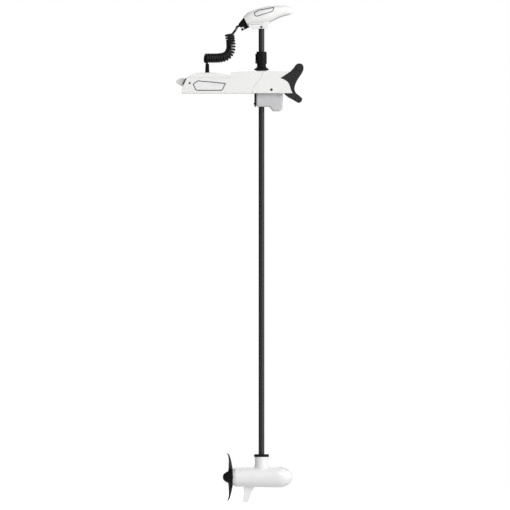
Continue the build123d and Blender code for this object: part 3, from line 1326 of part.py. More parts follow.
with BuildPart() as drive_pin:
    with Locations(across(SHAFT_X + DRIVE_PIN_X, MOTOR_Z)):
        Cylinder(DRIVE_PIN_R, 28)
save(drive_pin, "drive_pin")

with BuildPart() as armature:
    with BuildSketch(Plane.XZ):
        with BuildLine():
            Polyline(
                motor_profile(
                    [
                        (-106, PROP_SHAFT_R + SEAT),
                        (-106, ARMATURE_R - 12),
                        (-103, ARMATURE_R - 4),
                        (-95, ARMATURE_R - 3),
                        (-95, ARMATURE_R),
                        (-15, ARMATURE_R),
                        (-15, ARMATURE_R - 3),
                        (-7, ARMATURE_R - 4),
                        (-4, ARMATURE_R - 12),
                        (-4, COMMUTATOR_R),
                        (22, COMMUTATOR_R),
                        (22, PROP_SHAFT_R + SEAT),
                    ]
                ),
                close=True,
            )
        make_face()
    revolve(axis=motor_axis)
save(armature, "armature")

# Propeller: a domed hub and two swept blades. Each blade section gives the radius it lies at,
# its middle along and across the axis, its chord, thickness and angle to the plane of the disc.
HUB_END = -181.0
blade_sections = [
    (24, -151.5, 0, 44, 8, 30),
    (45, -151.5, -2, 54, 6.5, 21),
    (70, -153.5, -5, 56, 5, 14),
    (95, -157, -12, 44, 4, 11),
    (110, -162, -20, 26, 3, 14),
    (PROP_R, -168.5, -26, 8, 2, 25),
]
with BuildPart() as propeller:
    with BuildSketch(Plane.XZ):
        with BuildLine():
            Polyline(
                motor_profile([(HUB_END, 0), (PROP_BASE, 0), (PROP_BASE, PROP_HUB_R), (-147, PROP_HUB_R)])
            )
            Spline(motor_profile([(-147, PROP_HUB_R), (-160, 30.5), (-172, 25), (HUB_END, 19)]))
            Line(motor_profile([(HUB_END, 19), (HUB_END, 0)]))
        make_face()
    revolve(axis=motor_axis)
    with BuildPart(mode=Mode.PRIVATE) as blade:
        for radius, x, y, chord, thick, angle in blade_sections:
            with BuildSketch(Plane.XY.offset(MOTOR_Z + radius)):
                with Locations((SHAFT_X + x, y)):
                    Ellipse(chord / 2, thick / 2, rotation=90 - angle)
        loft()
    add(blade.part)
    add(blade.part.rotate(motor_axis, 180))
    with Locations(along(SHAFT_X, 0, MOTOR_Z)):
        Cylinder(PROP_SHAFT_R + SEAT, 600, mode=Mode.SUBTRACT)
    with Locations((SHAFT_X + PROP_BASE, 0, MOTOR_Z)):
        slot_depth = PROP_BASE - DRIVE_PIN_X + DRIVE_PIN_R + SEAT
        Box(2 * slot_depth, 30, 2 * DRIVE_PIN_R + 2 * SEAT, mode=Mode.SUBTRACT)
save(propeller, "propeller")

# Propeller nut: closes the hub's end.
with BuildPart() as prop_nut:
    with BuildSketch(Plane.XZ):
        with BuildLine():
            back = HUB_END - SEAT
            dome = Spline(motor_profile([(back, 18.5), (back - 4.5, 14.5), (back - 7.5, 8), (back - 8.5, 0)]))
            Polyline(dome @ 1, (SHAFT_X + back, MOTOR_Z), dome @ 0)
        make_face()
    revolve(axis=motor_axis)
save(prop_nut, "prop_nut")
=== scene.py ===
import json
import math

import bmesh
import bpy
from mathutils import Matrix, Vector
from mathutils.bvhtree import BVHTree


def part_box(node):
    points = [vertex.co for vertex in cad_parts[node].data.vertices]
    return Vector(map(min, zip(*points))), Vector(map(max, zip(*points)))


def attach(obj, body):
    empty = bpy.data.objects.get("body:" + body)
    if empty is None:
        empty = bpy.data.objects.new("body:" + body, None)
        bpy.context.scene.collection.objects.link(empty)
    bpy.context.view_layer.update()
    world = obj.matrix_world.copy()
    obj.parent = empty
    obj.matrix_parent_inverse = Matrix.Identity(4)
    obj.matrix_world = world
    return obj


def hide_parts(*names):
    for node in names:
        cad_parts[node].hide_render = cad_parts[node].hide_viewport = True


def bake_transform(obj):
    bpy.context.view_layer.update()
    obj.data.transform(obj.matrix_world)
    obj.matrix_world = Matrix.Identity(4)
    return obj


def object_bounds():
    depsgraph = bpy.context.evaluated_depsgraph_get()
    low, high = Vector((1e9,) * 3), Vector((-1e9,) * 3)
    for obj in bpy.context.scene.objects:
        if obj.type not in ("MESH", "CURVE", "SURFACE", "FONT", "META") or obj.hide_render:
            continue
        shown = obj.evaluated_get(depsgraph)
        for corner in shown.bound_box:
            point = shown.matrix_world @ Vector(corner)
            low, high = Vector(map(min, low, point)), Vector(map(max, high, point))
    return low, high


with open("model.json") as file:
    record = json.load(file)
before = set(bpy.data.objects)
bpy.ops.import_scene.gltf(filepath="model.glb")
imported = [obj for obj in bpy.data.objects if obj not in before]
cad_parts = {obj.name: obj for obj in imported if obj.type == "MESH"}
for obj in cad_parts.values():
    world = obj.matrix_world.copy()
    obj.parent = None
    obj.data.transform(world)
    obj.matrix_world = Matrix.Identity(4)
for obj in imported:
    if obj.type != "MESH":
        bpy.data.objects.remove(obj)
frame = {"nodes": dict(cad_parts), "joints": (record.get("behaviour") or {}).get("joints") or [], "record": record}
cad_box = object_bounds()

# The looks of a bow-mount trolling motor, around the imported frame: +X to the bow, +Y to port,
# +Z up. Shapes are worked out in millimetres and become metres where a mesh is made.
MM = 0.001
joints = {joint["name"]: joint for joint in frame["joints"]}
SHAFT_X = joints["steer"]["pos_m"][0] / MM


def node_box(node):
    """The lowest and the highest corner of a CAD node, in millimetres."""
    low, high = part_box(node)
    return Vector(low) / MM, Vector(high) / MM


# ---- camera, light and floor ------------------------------------------------------------------
VIEW_WIDTH = 2.499          # what the picture takes in, across
VIEW_CENTRE = Vector((0.1812, 0.0, -0.7918))
CAMERA_DISTANCE = 60.0
SENSOR_WIDTH = 36.0

camera_data = bpy.data.cameras.new("camera")
camera_data.sensor_width = SENSOR_WIDTH
camera_data.lens = SENSOR_WIDTH * CAMERA_DISTANCE / VIEW_WIDTH
camera_data.clip_end = 4 * CAMERA_DISTANCE
camera = bpy.data.objects.new("camera", camera_data)
camera.location = VIEW_CENTRE - Vector((0, CAMERA_DISTANCE, 0))
camera.rotation_euler = (math.radians(90), 0, 0)
bpy.context.scene.collection.objects.link(camera)
bpy.context.scene.camera = camera
bpy.context.scene.view_settings.view_transform = "Standard"


def soft_light(name, place, target, size, power):
    """A square soft box at place that faces target."""
    data = bpy.data.lights.new(name, "AREA")
    data.size = size
    data.energy = power
    light = bpy.data.objects.new(name, data)
    light.location = place
    light.rotation_euler = (Vector(target) - Vector(place)).to_track_quat("-Z", "Y").to_euler()
    bpy.context.scene.collection.objects.link(light)


soft_light("key", place=(2.5, -6.5, 4.0), target=(0.1, 0, -0.6), size=4.0, power=150)
soft_light("side", place=(5.5, -3.2, -0.4), target=(0.1, 0, -0.7), size=3.5, power=75)
soft_light("rim", place=(-1.0, 6.5, 3.5), target=(0.1, 0, -0.5), size=3.0, power=50)

# The room is brighter on the side that the camera stands on, and towards the bow.
STARBOARD_SKY = 0.84
PORT_SKY = 0.40
STERN_SHARE = 0.32
BOW_SHARE = 1.40

world = bpy.data.worlds.new("studio")
bpy.context.scene.world = world
world.use_nodes = True
world_tree = world.node_tree
sky = world_tree.nodes["Background"]
sky.inputs["Color"].default_value = (1, 1, 1, 1)
direction = world_tree.nodes.new("ShaderNodeTexCoord")
parts = world_tree.nodes.new("ShaderNodeSeparateXYZ")
world_tree.links.new(direction.outputs["Generated"], parts.inputs["Vector"])


def graded_sky(axis, at_low, at_high):
    """The strength of the sky, from its value at the low end of an axis to that at the high end."""
    grade = world_tree.nodes.new("ShaderNodeMapRange")
    grade.interpolation_type = "SMOOTHSTEP"
    grade.inputs["From Min"].default_value = -1.0
    grade.inputs["From Max"].default_value = 1.0
    grade.inputs["To Min"].default_value = at_low
    grade.inputs["To Max"].default_value = at_high
    world_tree.links.new(parts.outputs[axis], grade.inputs["Value"])
    return grade.outputs["Result"]


strength = world_tree.nodes.new("ShaderNodeMath")
strength.operation = "MULTIPLY"
world_tree.links.new(graded_sky("Y", STARBOARD_SKY, PORT_SKY), strength.inputs[0])
world_tree.links.new(graded_sky("X", STERN_SHARE, BOW_SHARE), strength.inputs[1])
world_tree.links.new(strength.outputs[0], sky.inputs["Strength"])
backdrop = world_tree.nodes.new("ShaderNodeBackground")
backdrop.inputs["Color"].default_value = (1, 1, 1, 1)
seen = world_tree.nodes.new("ShaderNodeLightPath")
choose = world_tree.nodes.new("ShaderNodeMixShader")
world_tree.links.new(seen.outputs["Is Camera Ray"], choose.inputs["Fac"])
world_tree.links.new(sky.outputs[0], choose.inputs[1])
world_tree.links.new(backdrop.outputs[0], choose.inputs[2])
world_tree.links.new(choose.outputs[0], world_tree.nodes["World Output"].inputs["Surface"])

# The floor lies under the skeg, also where the shaft slides down to its stop.
FLOOR_GAP = 0.012
FLOOR_HALF = 9.0
FLOOR_GLOW = 0.8            # how much a floor that is looked at glows, so that it shows white
floor_z = cad_box[0][2] + joints["depth"]["range_m"][0] - FLOOR_GAP
corners = [(-1, -1), (1, -1), (1, 1), (-1, 1)]
floor_mesh = bpy.data.meshes.new("floor")
floor_mesh.from_pydata([(x * FLOOR_HALF, y * FLOOR_HALF, floor_z) for x, y in corners], [], [(0, 1, 2, 3)])
floor = bpy.data.objects.new("floor", floor_mesh)
bpy.context.scene.collection.objects.link(floor)
floor_paint = bpy.data.materials.new("floor")
floor_paint.use_nodes = True
floor_shader = floor_paint.node_tree.nodes["Principled BSDF"]
floor_shader.inputs["Base Color"].default_value = (0.85, 0.85, 0.85, 1)
floor_shader.inputs["Roughness"].default_value = 0.9
floor_shader.inputs["Emission Color"].default_value = (1, 1, 1, 1)
glow = floor_paint.node_tree.nodes.new("ShaderNodeMath")
glow.operation = "MULTIPLY"
glow.inputs[1].default_value = FLOOR_GLOW
looked_at = floor_paint.node_tree.nodes.new("ShaderNodeLightPath")
floor_paint.node_tree.links.new(looked_at.outputs["Is Camera Ray"], glow.inputs[0])
floor_paint.node_tree.links.new(glow.outputs[0], floor_shader.inputs["Emission Strength"])
floor_mesh.materials.append(floor_paint)

# ---- materials --------------------------------------------------------------------------------
CLOUD_SCALE = 11.0          # patches of colour, per metre
SMEAR_SCALE = 45.0          # patches of gloss, per metre
COAT_ROUGHNESS = 0.12
LOWEST_ROUGHNESS = 0.02
RELIEF_DEPTH = 0.001        # of the grain, in metres
LENGTHWISE = (1, 1, 0.02)   # stretches a pattern along the shaft
ALONG_X = (0.02, 1, 1)


def finish(name, colour, roughness, metallic=0.0, mottle=0.02, grain=700.0, relief=0.04, coat=0.0,
           spread=0.05, stretch=(1, 1, 1), specular=0.5):
    """A surface whose colour and gloss vary a little, with a fine grain in relief."""
    material = bpy.data.materials.new(name)
    material.use_nodes = True
    nodes, links = material.node_tree.nodes, material.node_tree.links
    shader = nodes["Principled BSDF"]
    shader.inputs["Metallic"].default_value = metallic
    shader.inputs["Specular IOR Level"].default_value = specular
    shader.inputs["Coat Weight"].default_value = coat
    shader.inputs["Coat Roughness"].default_value = COAT_ROUGHNESS
    where = nodes.new("ShaderNodeTexCoord")
    scaled = nodes.new("ShaderNodeMapping")
    scaled.inputs["Scale"].default_value = stretch
    links.new(where.outputs["Object"], scaled.inputs["Vector"])

    def noise(scale, detail):
        texture = nodes.new("ShaderNodeTexNoise")
        texture.inputs["Scale"].default_value = scale
        texture.inputs["Detail"].default_value = detail
        links.new(scaled.outputs["Vector"], texture.inputs["Vector"])
        return texture

    clouds = noise(CLOUD_SCALE, 4.0)
    ramp = nodes.new("ShaderNodeValToRGB")
    for stop, share in zip(ramp.color_ramp.elements, (1 - mottle, 1 + mottle)):
        stop.color = [min(1.0, channel * share) for channel in colour] + [1.0]
    ramp.color_ramp.elements[0].position = 0.3
    ramp.color_ramp.elements[1].position = 0.7
    links.new(clouds.outputs["Fac"], ramp.inputs["Fac"])
    links.new(ramp.outputs["Color"], shader.inputs["Base Color"])

    smears = noise(SMEAR_SCALE, 3.0)
    gloss = nodes.new("ShaderNodeMapRange")
    gloss.inputs["To Min"].default_value = max(LOWEST_ROUGHNESS, roughness - spread)
    gloss.inputs["To Max"].default_value = min(1.0, roughness + spread)
    links.new(smears.outputs["Fac"], gloss.inputs["Value"])
    links.new(gloss.outputs["Result"], shader.inputs["Roughness"])

    pits = noise(grain, 2.0)
    bump = nodes.new("ShaderNodeBump")
    bump.inputs["Strength"].default_value = relief
    bump.inputs["Distance"].default_value = RELIEF_DEPTH
    links.new(pits.outputs["Fac"], bump.inputs["Height"])
    links.new(bump.outputs["Normal"], shader.inputs["Normal"])
    return material


FINISHES = {
    "white_plastic": dict(colour=(0.90, 0.90, 0.892), roughness=0.34, coat=0.25, relief=0.03, mottle=0.012),
    "pale_plastic": dict(colour=(0.78, 0.78, 0.78), roughness=0.40, relief=0.06),
    # case_white: the case is light grey; its colour is set darker still as painted shade, for the shade it lies in
    # below the mount
    "case_white": dict(colour=(0.60, 0.60, 0.61), roughness=0.38, coat=0.15, relief=0.05, mottle=0.03),
    "motor_paint": dict(colour=(0.95, 0.95, 0.948), roughness=0.26, coat=0.5, relief=0.012, mottle=0.012),
    "black_plastic": dict(
        colour=(0.008, 0.008, 0.0085), roughness=0.42, relief=0.22, grain=900, specular=0.12, mottle=0.15
    ),
    "black_paint": dict(
        colour=(0.009, 0.009, 0.0095), roughness=0.38, relief=0.15, grain=1200, specular=0.12, mottle=0.15
    ),
    "black_rubber": dict(
        colour=(0.007, 0.007, 0.007), roughness=0.60, relief=0.2, grain=1500, specular=0.12, mottle=0.15
    ),
    "cord_jacket": dict(
        colour=(0.002, 0.002, 0.0025), roughness=0.14, relief=0.03, grain=600, specular=0.42, spread=0.03
    ),
    "composite_shaft": dict(
        colour=(0.016, 0.016, 0.017), roughness=0.30, relief=0.10, grain=900, mottle=0.12,
        stretch=LENGTHWISE, specular=0.45,
    ),
    "aluminium": dict(
        colour=(0.72, 0.73, 0.74), roughness=0.38, metallic=1.0, stretch=ALONG_X, relief=0.08
    ),
    "steel": dict(colour=(0.60, 0.60, 0.61), roughness=0.26, metallic=1.0, stretch=ALONG_X, relief=0.06),
    "dark_steel": dict(colour=(0.02, 0.02, 0.022), roughness=0.42, metallic=0.2, relief=0.08),
    "bush_bronze": dict(colour=(0.50, 0.34, 0.16), roughness=0.42, metallic=1.0, relief=0.15, mottle=0.08),
    "gear_plastic": dict(colour=(0.72, 0.69, 0.60), roughness=0.46, relief=0.05),
    "magnet": dict(colour=(0.07, 0.07, 0.075), roughness=0.62, relief=0.2, mottle=0.1),
    "windings": dict(
        colour=(0.45, 0.20, 0.08), roughness=0.34, metallic=0.8, relief=0.35, grain=260, mottle=0.15
    ),
    "circuit": dict(colour=(0.02, 0.14, 0.06), roughness=0.40, relief=0.1, mottle=0.1),
    "rest_plastic": dict(
        colour=(0.018, 0.018, 0.019), roughness=0.45, relief=0.22, grain=900, specular=0.3, mottle=0.15
    ),
    # painted shadow: the grey of the shadow gap under the head cover's edge, laid on as a strip
    "painted_seam_shadow": dict(colour=(0.46, 0.46, 0.47), roughness=0.5, relief=0.03),
    # painted shade: the grey of the shaded underside of the head's nose
    "painted_underside_shade": dict(colour=(0.36, 0.36, 0.37), roughness=0.5, relief=0.08),
    "label_line": dict(colour=(0.10, 0.10, 0.105), roughness=0.40, relief=0.02),
    "label_panel": dict(colour=(0.89, 0.89, 0.885), roughness=0.30, coat=0.4, relief=0.02),
}
materials = {name: finish(name, **looks) for name, looks in FINISHES.items()}

# ---- making pieces ----------------------------------------------------------------------------


def add_piece(name, points, faces, material, body, stands_for=(), smooth_angle=35):
    """A mesh from points in millimetres, with its finish, on its body."""
    mesh = bpy.data.meshes.new(name)
    mesh.from_pydata([Vector(point) * MM for point in points], [], faces)
    mesh.validate()
    tidy_normals(mesh)
    obj = bpy.data.objects.new(name, mesh)
    bpy.context.scene.collection.objects.link(obj)
    mesh.materials.append(materials[material])
    shade(mesh, smooth_angle)
    if stands_for:
        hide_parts(*stands_for)
    if body:
        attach(obj, body)
    return obj


def tidy_normals(mesh):
    """Turns every face of a closed mesh outwards."""
    work = bmesh.new()
    work.from_mesh(mesh)
    bmesh.ops.recalc_face_normals(work, faces=work.faces)
    work.to_mesh(mesh)
    work.free()


def shade(mesh, angle):
    """Smooth faces with sharp edges where the surface turns by more than the angle."""
    mesh.polygons.foreach_set("use_smooth", [True] * len(mesh.polygons))
    mesh.set_sharp_from_angle(angle=math.radians(angle))


def rings_to_faces(count, around, closed=True, start=0):
    """Quads between rings of points that lie one after the other."""
    faces = []
    last = around if closed else around - 1
    for ring in range(count - 1):
        for i in range(last):
            a = start + ring * around + i
            b = start + ring * around + (i + 1) % around
            faces.append((a, b, b + around, a + around))
    return faces


def tube(name, path, radius, material, body, stands_for=(), sides=14):
    """A round tube along the points of a path, closed at both ends."""
    points = []
    count = len(path)
    side = None
    for i, centre in enumerate(path):
        ahead = (path[min(i + 1, count - 1)] - path[max(i - 1, 0)]).normalized()
        if side is None:
            side = ahead.orthogonal().normalized()
        side = (side - ahead * side.dot(ahead)).normalized()
        up = ahead.cross(side)
        for k in range(sides):
            angle = 2 * math.pi * k / sides
            points.append(centre + (side * math.cos(angle) + up * math.sin(angle)) * radius)
    faces = rings_to_faces(count, sides)
    faces.append(tuple(range(sides))[::-1])
    faces.append(tuple(range((count - 1) * sides, count * sides)))
    return add_piece(name, points, faces, material, body, stands_for, 60)


def curve_points(route, order=3, fineness=12):
    """The points of a smooth NURBS line that a route in millimetres controls."""
    data = bpy.data.curves.new("route", "CURVE")
    data.dimensions = "3D"
    data.resolution_u = fineness
    line = data.splines.new("NURBS")
    line.points.add(len(route) - 1)
    for point, place in zip(line.points, route):
        point.co = (*place, 1.0)
    line.order_u = order
    line.use_endpoint_u = True
    holder = bpy.data.objects.new("route", data)
    mesh = bpy.data.meshes.new_from_object(holder)
    points = [vertex.co.copy() for vertex in mesh.vertices]
    bpy.data.objects.remove(holder)
    bpy.data.curves.remove(data)
    bpy.data.meshes.remove(mesh)
    return points


# ---- the coiled cord --------------------------------------------------------------------------
# One wire from the strain relief on the mount to the boot on the head, with its coil between.
CORD_D = 11.5
COIL_TURNS = 19.0
COIL_R = 18.75              # from the coil's middle to the wire's
POINTS_PER_TURN = 14
TURN_EASE = 0.98            # under 1, the turns lie closer at the mount
LOOSE_FROM = 0.6            # the share of the coil after which its turns grow looser
LEAD_CUT = 0.9              # the smooth wire is taken as this share of the runs between the lead's points
TAIL_RISE = 5.0             # how far the wire stands straight up out of the strain relief
strain_low, strain_high = node_box("cord_strain_relief")
STRAIN_X = (strain_low.x + strain_high.x) / 2
STRAIN_Y = (strain_low.y + strain_high.y) / 2
STRAIN_TOP = strain_high.z
coil_route = [
    (SHAFT_X - 158, 101, 293),
    (SHAFT_X - 150.5, 103, 258),
    (SHAFT_X - 149, 100, 213),
    (SHAFT_X - 171, 91, 181),
    (SHAFT_X - 216, 75, 173),
    (SHAFT_X - 276, STRAIN_Y + 12, 174),
]
lead_route = [
    (SHAFT_X - 109.1, 0, 331.4),
    (SHAFT_X - 117.6, 0, 327.5),
    (SHAFT_X - 121, 5, 324),
    (SHAFT_X - 121.6, 14, 322.4),
    (SHAFT_X - 121.8, 30, 320.8),
    (SHAFT_X - 123, 52, 318.4),
    (SHAFT_X - 126, 77, 313),
    (SHAFT_X - 131.6, 95, 302.6),
]


def lengths_along(points):
    """How far along the line each point lies."""
    total = [0.0]
    for before, here in zip(points, points[1:]):
        total.append(total[-1] + (here - before).length)
    return total


def at_length(points, total, wanted):
    """The place on the line at a length, and the line's direction there."""
    for i in range(len(points) - 1):
        if total[i + 1] >= wanted or i == len(points) - 2:
            share = (wanted - total[i]) / max(total[i + 1] - total[i], 1e-9)
            return points[i].lerp(points[i + 1], share), (points[i + 1] - points[i]).normalized()


def coil_turns():
    """Control points of the wire round the coil's own line, from the mount's end up."""
    middle = curve_points(coil_route[::-1])
    total = lengths_along(middle)
    steps = int(COIL_TURNS * POINTS_PER_TURN)
    side = Vector((0, 0, -1))
    turns = []
    for step in range(steps + 1):
        share = step / steps
        centre, ahead = at_length(middle, total, share * total[-1])
        side = (side - ahead * side.dot(ahead)).normalized()
        across = ahead.cross(side)
        angle = 2 * math.pi * COIL_TURNS * share ** TURN_EASE
        # no two turns are quite alike, and those near the head are looser
        loose = 0.25 + 0.75 * max(0.0, share - LOOSE_FROM) / (1 - LOOSE_FROM)
        radius = COIL_R * (1 - 0.05 * loose * (0.5 + 0.5 * math.sin(0.37 * angle + 1.0)))
        tilt = ahead * (2.4 * loose * math.sin(0.83 * angle))
        turns.append(centre + (side * math.cos(angle) + across * math.sin(angle)) * radius + tilt)
    return turns


turns = coil_turns()
tail = [Vector((STRAIN_X, STRAIN_Y, STRAIN_TOP)), Vector((STRAIN_X, STRAIN_Y, STRAIN_TOP + TAIL_RISE))]
lead = [Vector(place) for place in lead_route[::-1]]
wire = curve_points(tail + turns + lead[1:], fineness=4)
wire_total = lengths_along(wire)
HUB_PART_Z = 236.0          # above this height the cord turns with the hub
SHAFT_PART_Z = 262.0        # and above this one it is stretched by the shaft's slide


def coil_share_at(z):
    """How far along the wire the coil's line passes the height z, on its way up."""
    middle = curve_points(coil_route[::-1])
    total = lengths_along(middle)
    share = next(total[i] for i, point in enumerate(middle) if point.z >= z and i > 2) / total[-1]
    first = lengths_along(tail)[-1]
    return first + share * (wire_total[-1] - first - lengths_along(lead)[-1] * LEAD_CUT)


cuts = [0.0, coil_share_at(HUB_PART_Z), coil_share_at(SHAFT_PART_Z), wire_total[-1]]
# Each span's name, the bodies below and above it, where it starts and ends to turn from the one to
# the other, in metres, and the CAD node that it stands for.
cord_spans = [
    ("cord_lower", "mount", "steering_unit", (-0.060, 0.055, 0.172), (0.058, 0.100, 0.232), "cord_tail"),
    ("cord_middle", "steering_unit", "steering_hub", (0.058, 0.1, 0.240), (0.058, 0.1, 0.262), "coil_cord"),
    ("cord_upper", "steering_hub", "shaft", (0.060, 0.1, 0.266), (0.075, 0.09, 0.312), "cord_lead"),
]
for (name, below, above, start, end, stands_for), low, high in zip(cord_spans, cuts, cuts[1:]):
    inner = [point for point, run in zip(wire, wire_total) if low < run < high]
    path = [at_length(wire, wire_total, low)[0]] + inner + [at_length(wire, wire_total, high)[0]]
    piece = tube(name, path, CORD_D / 2, "cord_jacket", None, stands_for=(stands_for,))
    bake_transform(piece)

# ---- label panels -----------------------------------------------------------------------------
# Plain panels with a grey outline, which follow the surface that they are stuck on.
LINE_LIFT = 0.45            # how far a line stands proud of the surface
PANEL_LIFT = 0.25
SUNK = 0.3                  # how far a strip or a panel reaches into the surface
FLAT_STEP = 7.0             # the longest edge of an outline that is laid on a surface
BESIDE = 400.0              # a ray to the side of the object starts at this distance
NEARBY = 40.0               # where it meets nothing, the nearest place to this distance is taken
BELOW = 200.0               # and one to the head's underside at this height


def rounded_outline(corners, radius, steps=4):
    """The corners of a closed flat outline, each cut to a short curve."""
    outline = []
    for i, corner in enumerate(corners):
        here = Vector(corner)
        ends = []
        for other in (corners[i - 1], corners[(i + 1) % len(corners)]):
            away = Vector(other) - here
            ends.append(here + away.normalized() * min(radius, away.length / 2.2))
        for step in range(steps + 1):
            t = step / steps
            outline.append(ends[0] * (1 - t) ** 2 + here * (2 * t * (1 - t)) + ends[1] * t * t)
    return outline


def inset(outline, amount):
    """The outline moved inwards by the amount, corner for corner."""
    middle = sum(outline, Vector((0, 0))) / len(outline)
    moved = []
    for i, here in enumerate(outline):
        along = (outline[(i + 1) % len(outline)] - outline[i - 1]).normalized()
        inwards = Vector((-along.y, along.x))
        if inwards.dot(middle - here) < 0:
            inwards = -inwards
        moved.append(here + inwards * amount)
    return moved


def surface_of(nodes):
    """A search tree of the nodes' faces, in millimetres."""
    points, faces = [], []
    for node in nodes:
        mesh = frame["nodes"][node].data
        start = len(points)
        points += [vertex.co / MM for vertex in mesh.vertices]
        faces += [[start + i for i in polygon.vertices] for polygon in mesh.polygons]
    return BVHTree.FromPolygons(points, faces)


def lie_on(tree, flat, side, lift):
    """Flat places (x, z) laid on the surface, from the side -1 for starboard or 1 for port."""
    laid = []
    for x, z in flat:
        hit = tree.ray_cast(Vector((x, side * BESIDE, z)), Vector((0, -side, 0)))[0]
        hit = hit or tree.find_nearest(Vector((x, side * NEARBY, z)))[0]
        laid.append(hit + Vector((0, side * lift, 0)))
    return laid


def closed_strip(name, tree, outer, inner, side, lift, depth, material, body):
    """A flat band between two outlines, with a top, a bottom and both edges."""
    count = len(outer)
    rings = [lie_on(tree, ring, side, height) for ring, height in
             ((outer, -depth), (outer, lift), (inner, lift), (inner, -depth))]
    points = [point for ring in rings for point in ring]
    faces = rings_to_faces(4, count)
    faces += [(3 * count + i, 3 * count + (i + 1) % count, (i + 1) % count, i) for i in range(count)]
    return add_piece(name, points, faces, material, body)


def closed_panel(name, tree, outline, side, lift, depth, material, body):
    """A thin plate within an outline, domed over the surface by rings that shrink to its middle."""
    shares = (1.0, 0.8, 0.6, 0.4, 0.2)
    middle = sum(outline, Vector((0, 0))) / len(outline)
    flats = [[middle + (point - middle) * share for point in outline] for share in shares]
    count = len(outline)
    points = lie_on(tree, outline, side, -depth)
    for flat in flats:
        points += lie_on(tree, flat, side, lift)
    faces = rings_to_faces(len(shares) + 1, count)
    points += lie_on(tree, [middle], side, lift)
    last = len(shares) * count
    faces += [(last + i, last + (i + 1) % count, len(points) - 1) for i in range(count)]
    points += lie_on(tree, [middle], side, -depth)
    faces += [((i + 1) % count, i, len(points) - 1) for i in range(count)]
    return add_piece(name, points, faces, material, body)


def divided(outline, longest):
    """The outline with its long edges divided."""
    points = []
    for i, here in enumerate(outline):
        ahead = outline[(i + 1) % len(outline)]
        parts_wanted = max(1, math.ceil((ahead - here).length / longest))
        points += [here.lerp(ahead, k / parts_wanted) for k in range(parts_wanted)]
    return points


def open_divided(path, longest):
    """The path with its long runs divided, from its first point to its last."""
    points = divided(path, longest)
    return points[: points.index(path[-1]) + 1]


def label(name, nodes, corners, radius, line_width, body):
    """A panel with its outline on both sides of the nodes, from its flat corners (x, z)."""
    tree = surface_of(nodes)
    outline = divided(rounded_outline(corners, radius), FLAT_STEP)
    inner = inset(outline, line_width)
    for side, word in ((-1, "right"), (1, "left")):
        closed_strip(f"{name}_line_{word}", tree, outline, inner, side, LINE_LIFT, SUNK, "label_line", body)
        closed_panel(f"{name}_panel_{word}", tree, inner, side, PANEL_LIFT, SUNK, "label_panel", body)


MOUNT_LABEL = [(-124, 45), (-100, 63), (40.5, 50), (21, 12), (-109, 12)]
HEAD_LABEL = [
    (SHAFT_X - 39, 394),
    (SHAFT_X - 14, 409),
    (SHAFT_X + 63, 423.5),
    (SHAFT_X + 59, 404),
    (SHAFT_X + 52, 399),
    (SHAFT_X - 23, 375),
    (SHAFT_X - 33, 379),
]
label(
    "mount_label", ["side_plate_left", "side_plate_right"], MOUNT_LABEL, radius=7.0, line_width=4.6,
    body="mount",
)
label("head_label", ["head_cover"], HEAD_LABEL, radius=4.0, line_width=4.2, body="shaft")

# ---- painted seam shadow, painted shade under the nose, and ring of the head ------------------


def seam_shadow_line(name, nodes, path, width, body):
    """A narrow grey line of painted shadow on both sides of the nodes, along a flat path (x, z), where the seam's
    shadow gap falls.
    """
    tree = surface_of(nodes)
    path = open_divided([Vector(place) for place in path], FLAT_STEP)
    for side, word in ((-1, "right"), (1, "left")):
        points = []
        for i, here in enumerate(path):
            along = (path[min(i + 1, len(path) - 1)] - path[max(i - 1, 0)]).normalized()
            off = Vector((-along.y, along.x)) * (width / 2)
            points += lie_on(tree, [here + off, here - off], side, PANEL_LIFT)
            points += lie_on(tree, [here - off, here + off], side, -SUNK)
        last = 4 * (len(path) - 1)
        faces = rings_to_faces(len(path), 4) + [(3, 2, 1, 0), (last, last + 1, last + 2, last + 3)]
        add_piece(f"{name}_{word}", points, faces, "painted_seam_shadow", body)


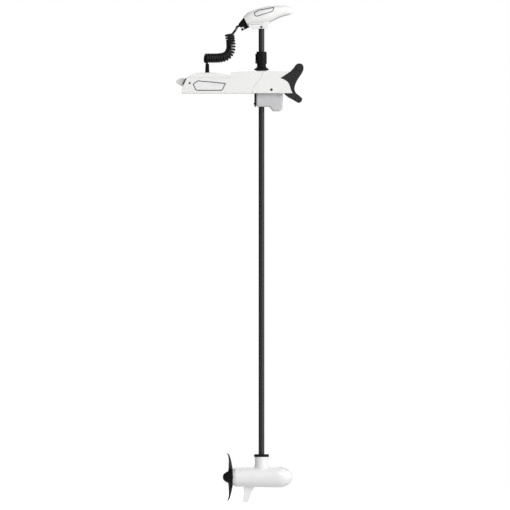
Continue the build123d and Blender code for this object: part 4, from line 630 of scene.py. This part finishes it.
def underside_shade_strip(name, nodes, start, end, half_width, thick, material, body):
    """A soft lens-shaped strip of grey painted shade on the underside of the nodes, between two places along X."""
    tree = surface_of(nodes)
    steps = 24
    across = 10
    tip = 0.04              # the share of the lens that is cut off at each end
    points = []
    for step in range(steps + 1):
        share = step / steps
        swell = math.sqrt(math.sin(math.pi * (tip + (1 - 2 * tip) * share)))
        x = start + (end - start) * share
        low, high = [], []
        for k in range(across + 1):
            spread = 2 * k / across - 1
            y = half_width * swell * spread
            hit = tree.ray_cast(Vector((x, y, BELOW)), Vector((0, 0, 1)))[0]
            low.append(hit - Vector((0, 0, thick * swell * math.sqrt(1 - 0.98 * spread**2))))
            high.append(hit + Vector((0, 0, 2 * SUNK)))
        points += low + high[::-1]
    around = 2 * (across + 1)
    last = steps * around
    faces = rings_to_faces(steps + 1, around)
    faces += [tuple(range(around))[::-1], tuple(range(last, last + around))]
    return add_piece(name, points, faces, material, body)


HEAD_NODES = ["head_cover", "head_base"]
HEAD_SEAM = [(SHAFT_X - 80, 333.7), (SHAFT_X - 60, 336), (SHAFT_X + 8, 340)]
# A grey strip of painted shadow along the seam, where the head's cover overhangs its base.
seam_shadow_line("head_seam_shadow", HEAD_NODES, HEAD_SEAM, width=2.2, body="shaft")
# A grey strip of painted shade on the underside of the nose, where it faces down away from the light.
underside_shade_strip(
    "head_underside_shade", HEAD_NODES, start=SHAFT_X + 36, end=SHAFT_X + 143, half_width=15.0, thick=4.0,
    material="painted_underside_shade", body="shaft",
)

CONNECTOR_START = Vector((SHAFT_X - 66, -15, 327.5))
CONNECTOR_WAY = Vector((-0.89, 0, -0.457)).normalized()
CONNECTOR_LENGTH = 22.0
RING_WIDTH = 4.0
RING_R = 5.3
RING_STEPS = 3
ring_path = [
    CONNECTOR_START + CONNECTOR_WAY * (CONNECTOR_LENGTH + RING_WIDTH * k / RING_STEPS)
    for k in range(RING_STEPS + 1)
]
tube("connector_ring", ring_path, RING_R, "label_panel", "shaft")

# ---- finishes of the CAD nodes ----------------------------------------------------------------
SMOOTH_ANGLE = 30
OWN_FINISH = {"motor_rest_left": "rest_plastic", "motor_rest_right": "rest_plastic"}
for part in frame["record"]["subparts"]:
    node = frame["nodes"][part["node"]]
    node.data.materials.clear()
    node.data.materials.append(materials[OWN_FINISH.get(part["node"], part["material_slot"])])
    shade(node.data, SMOOTH_ANGLE)
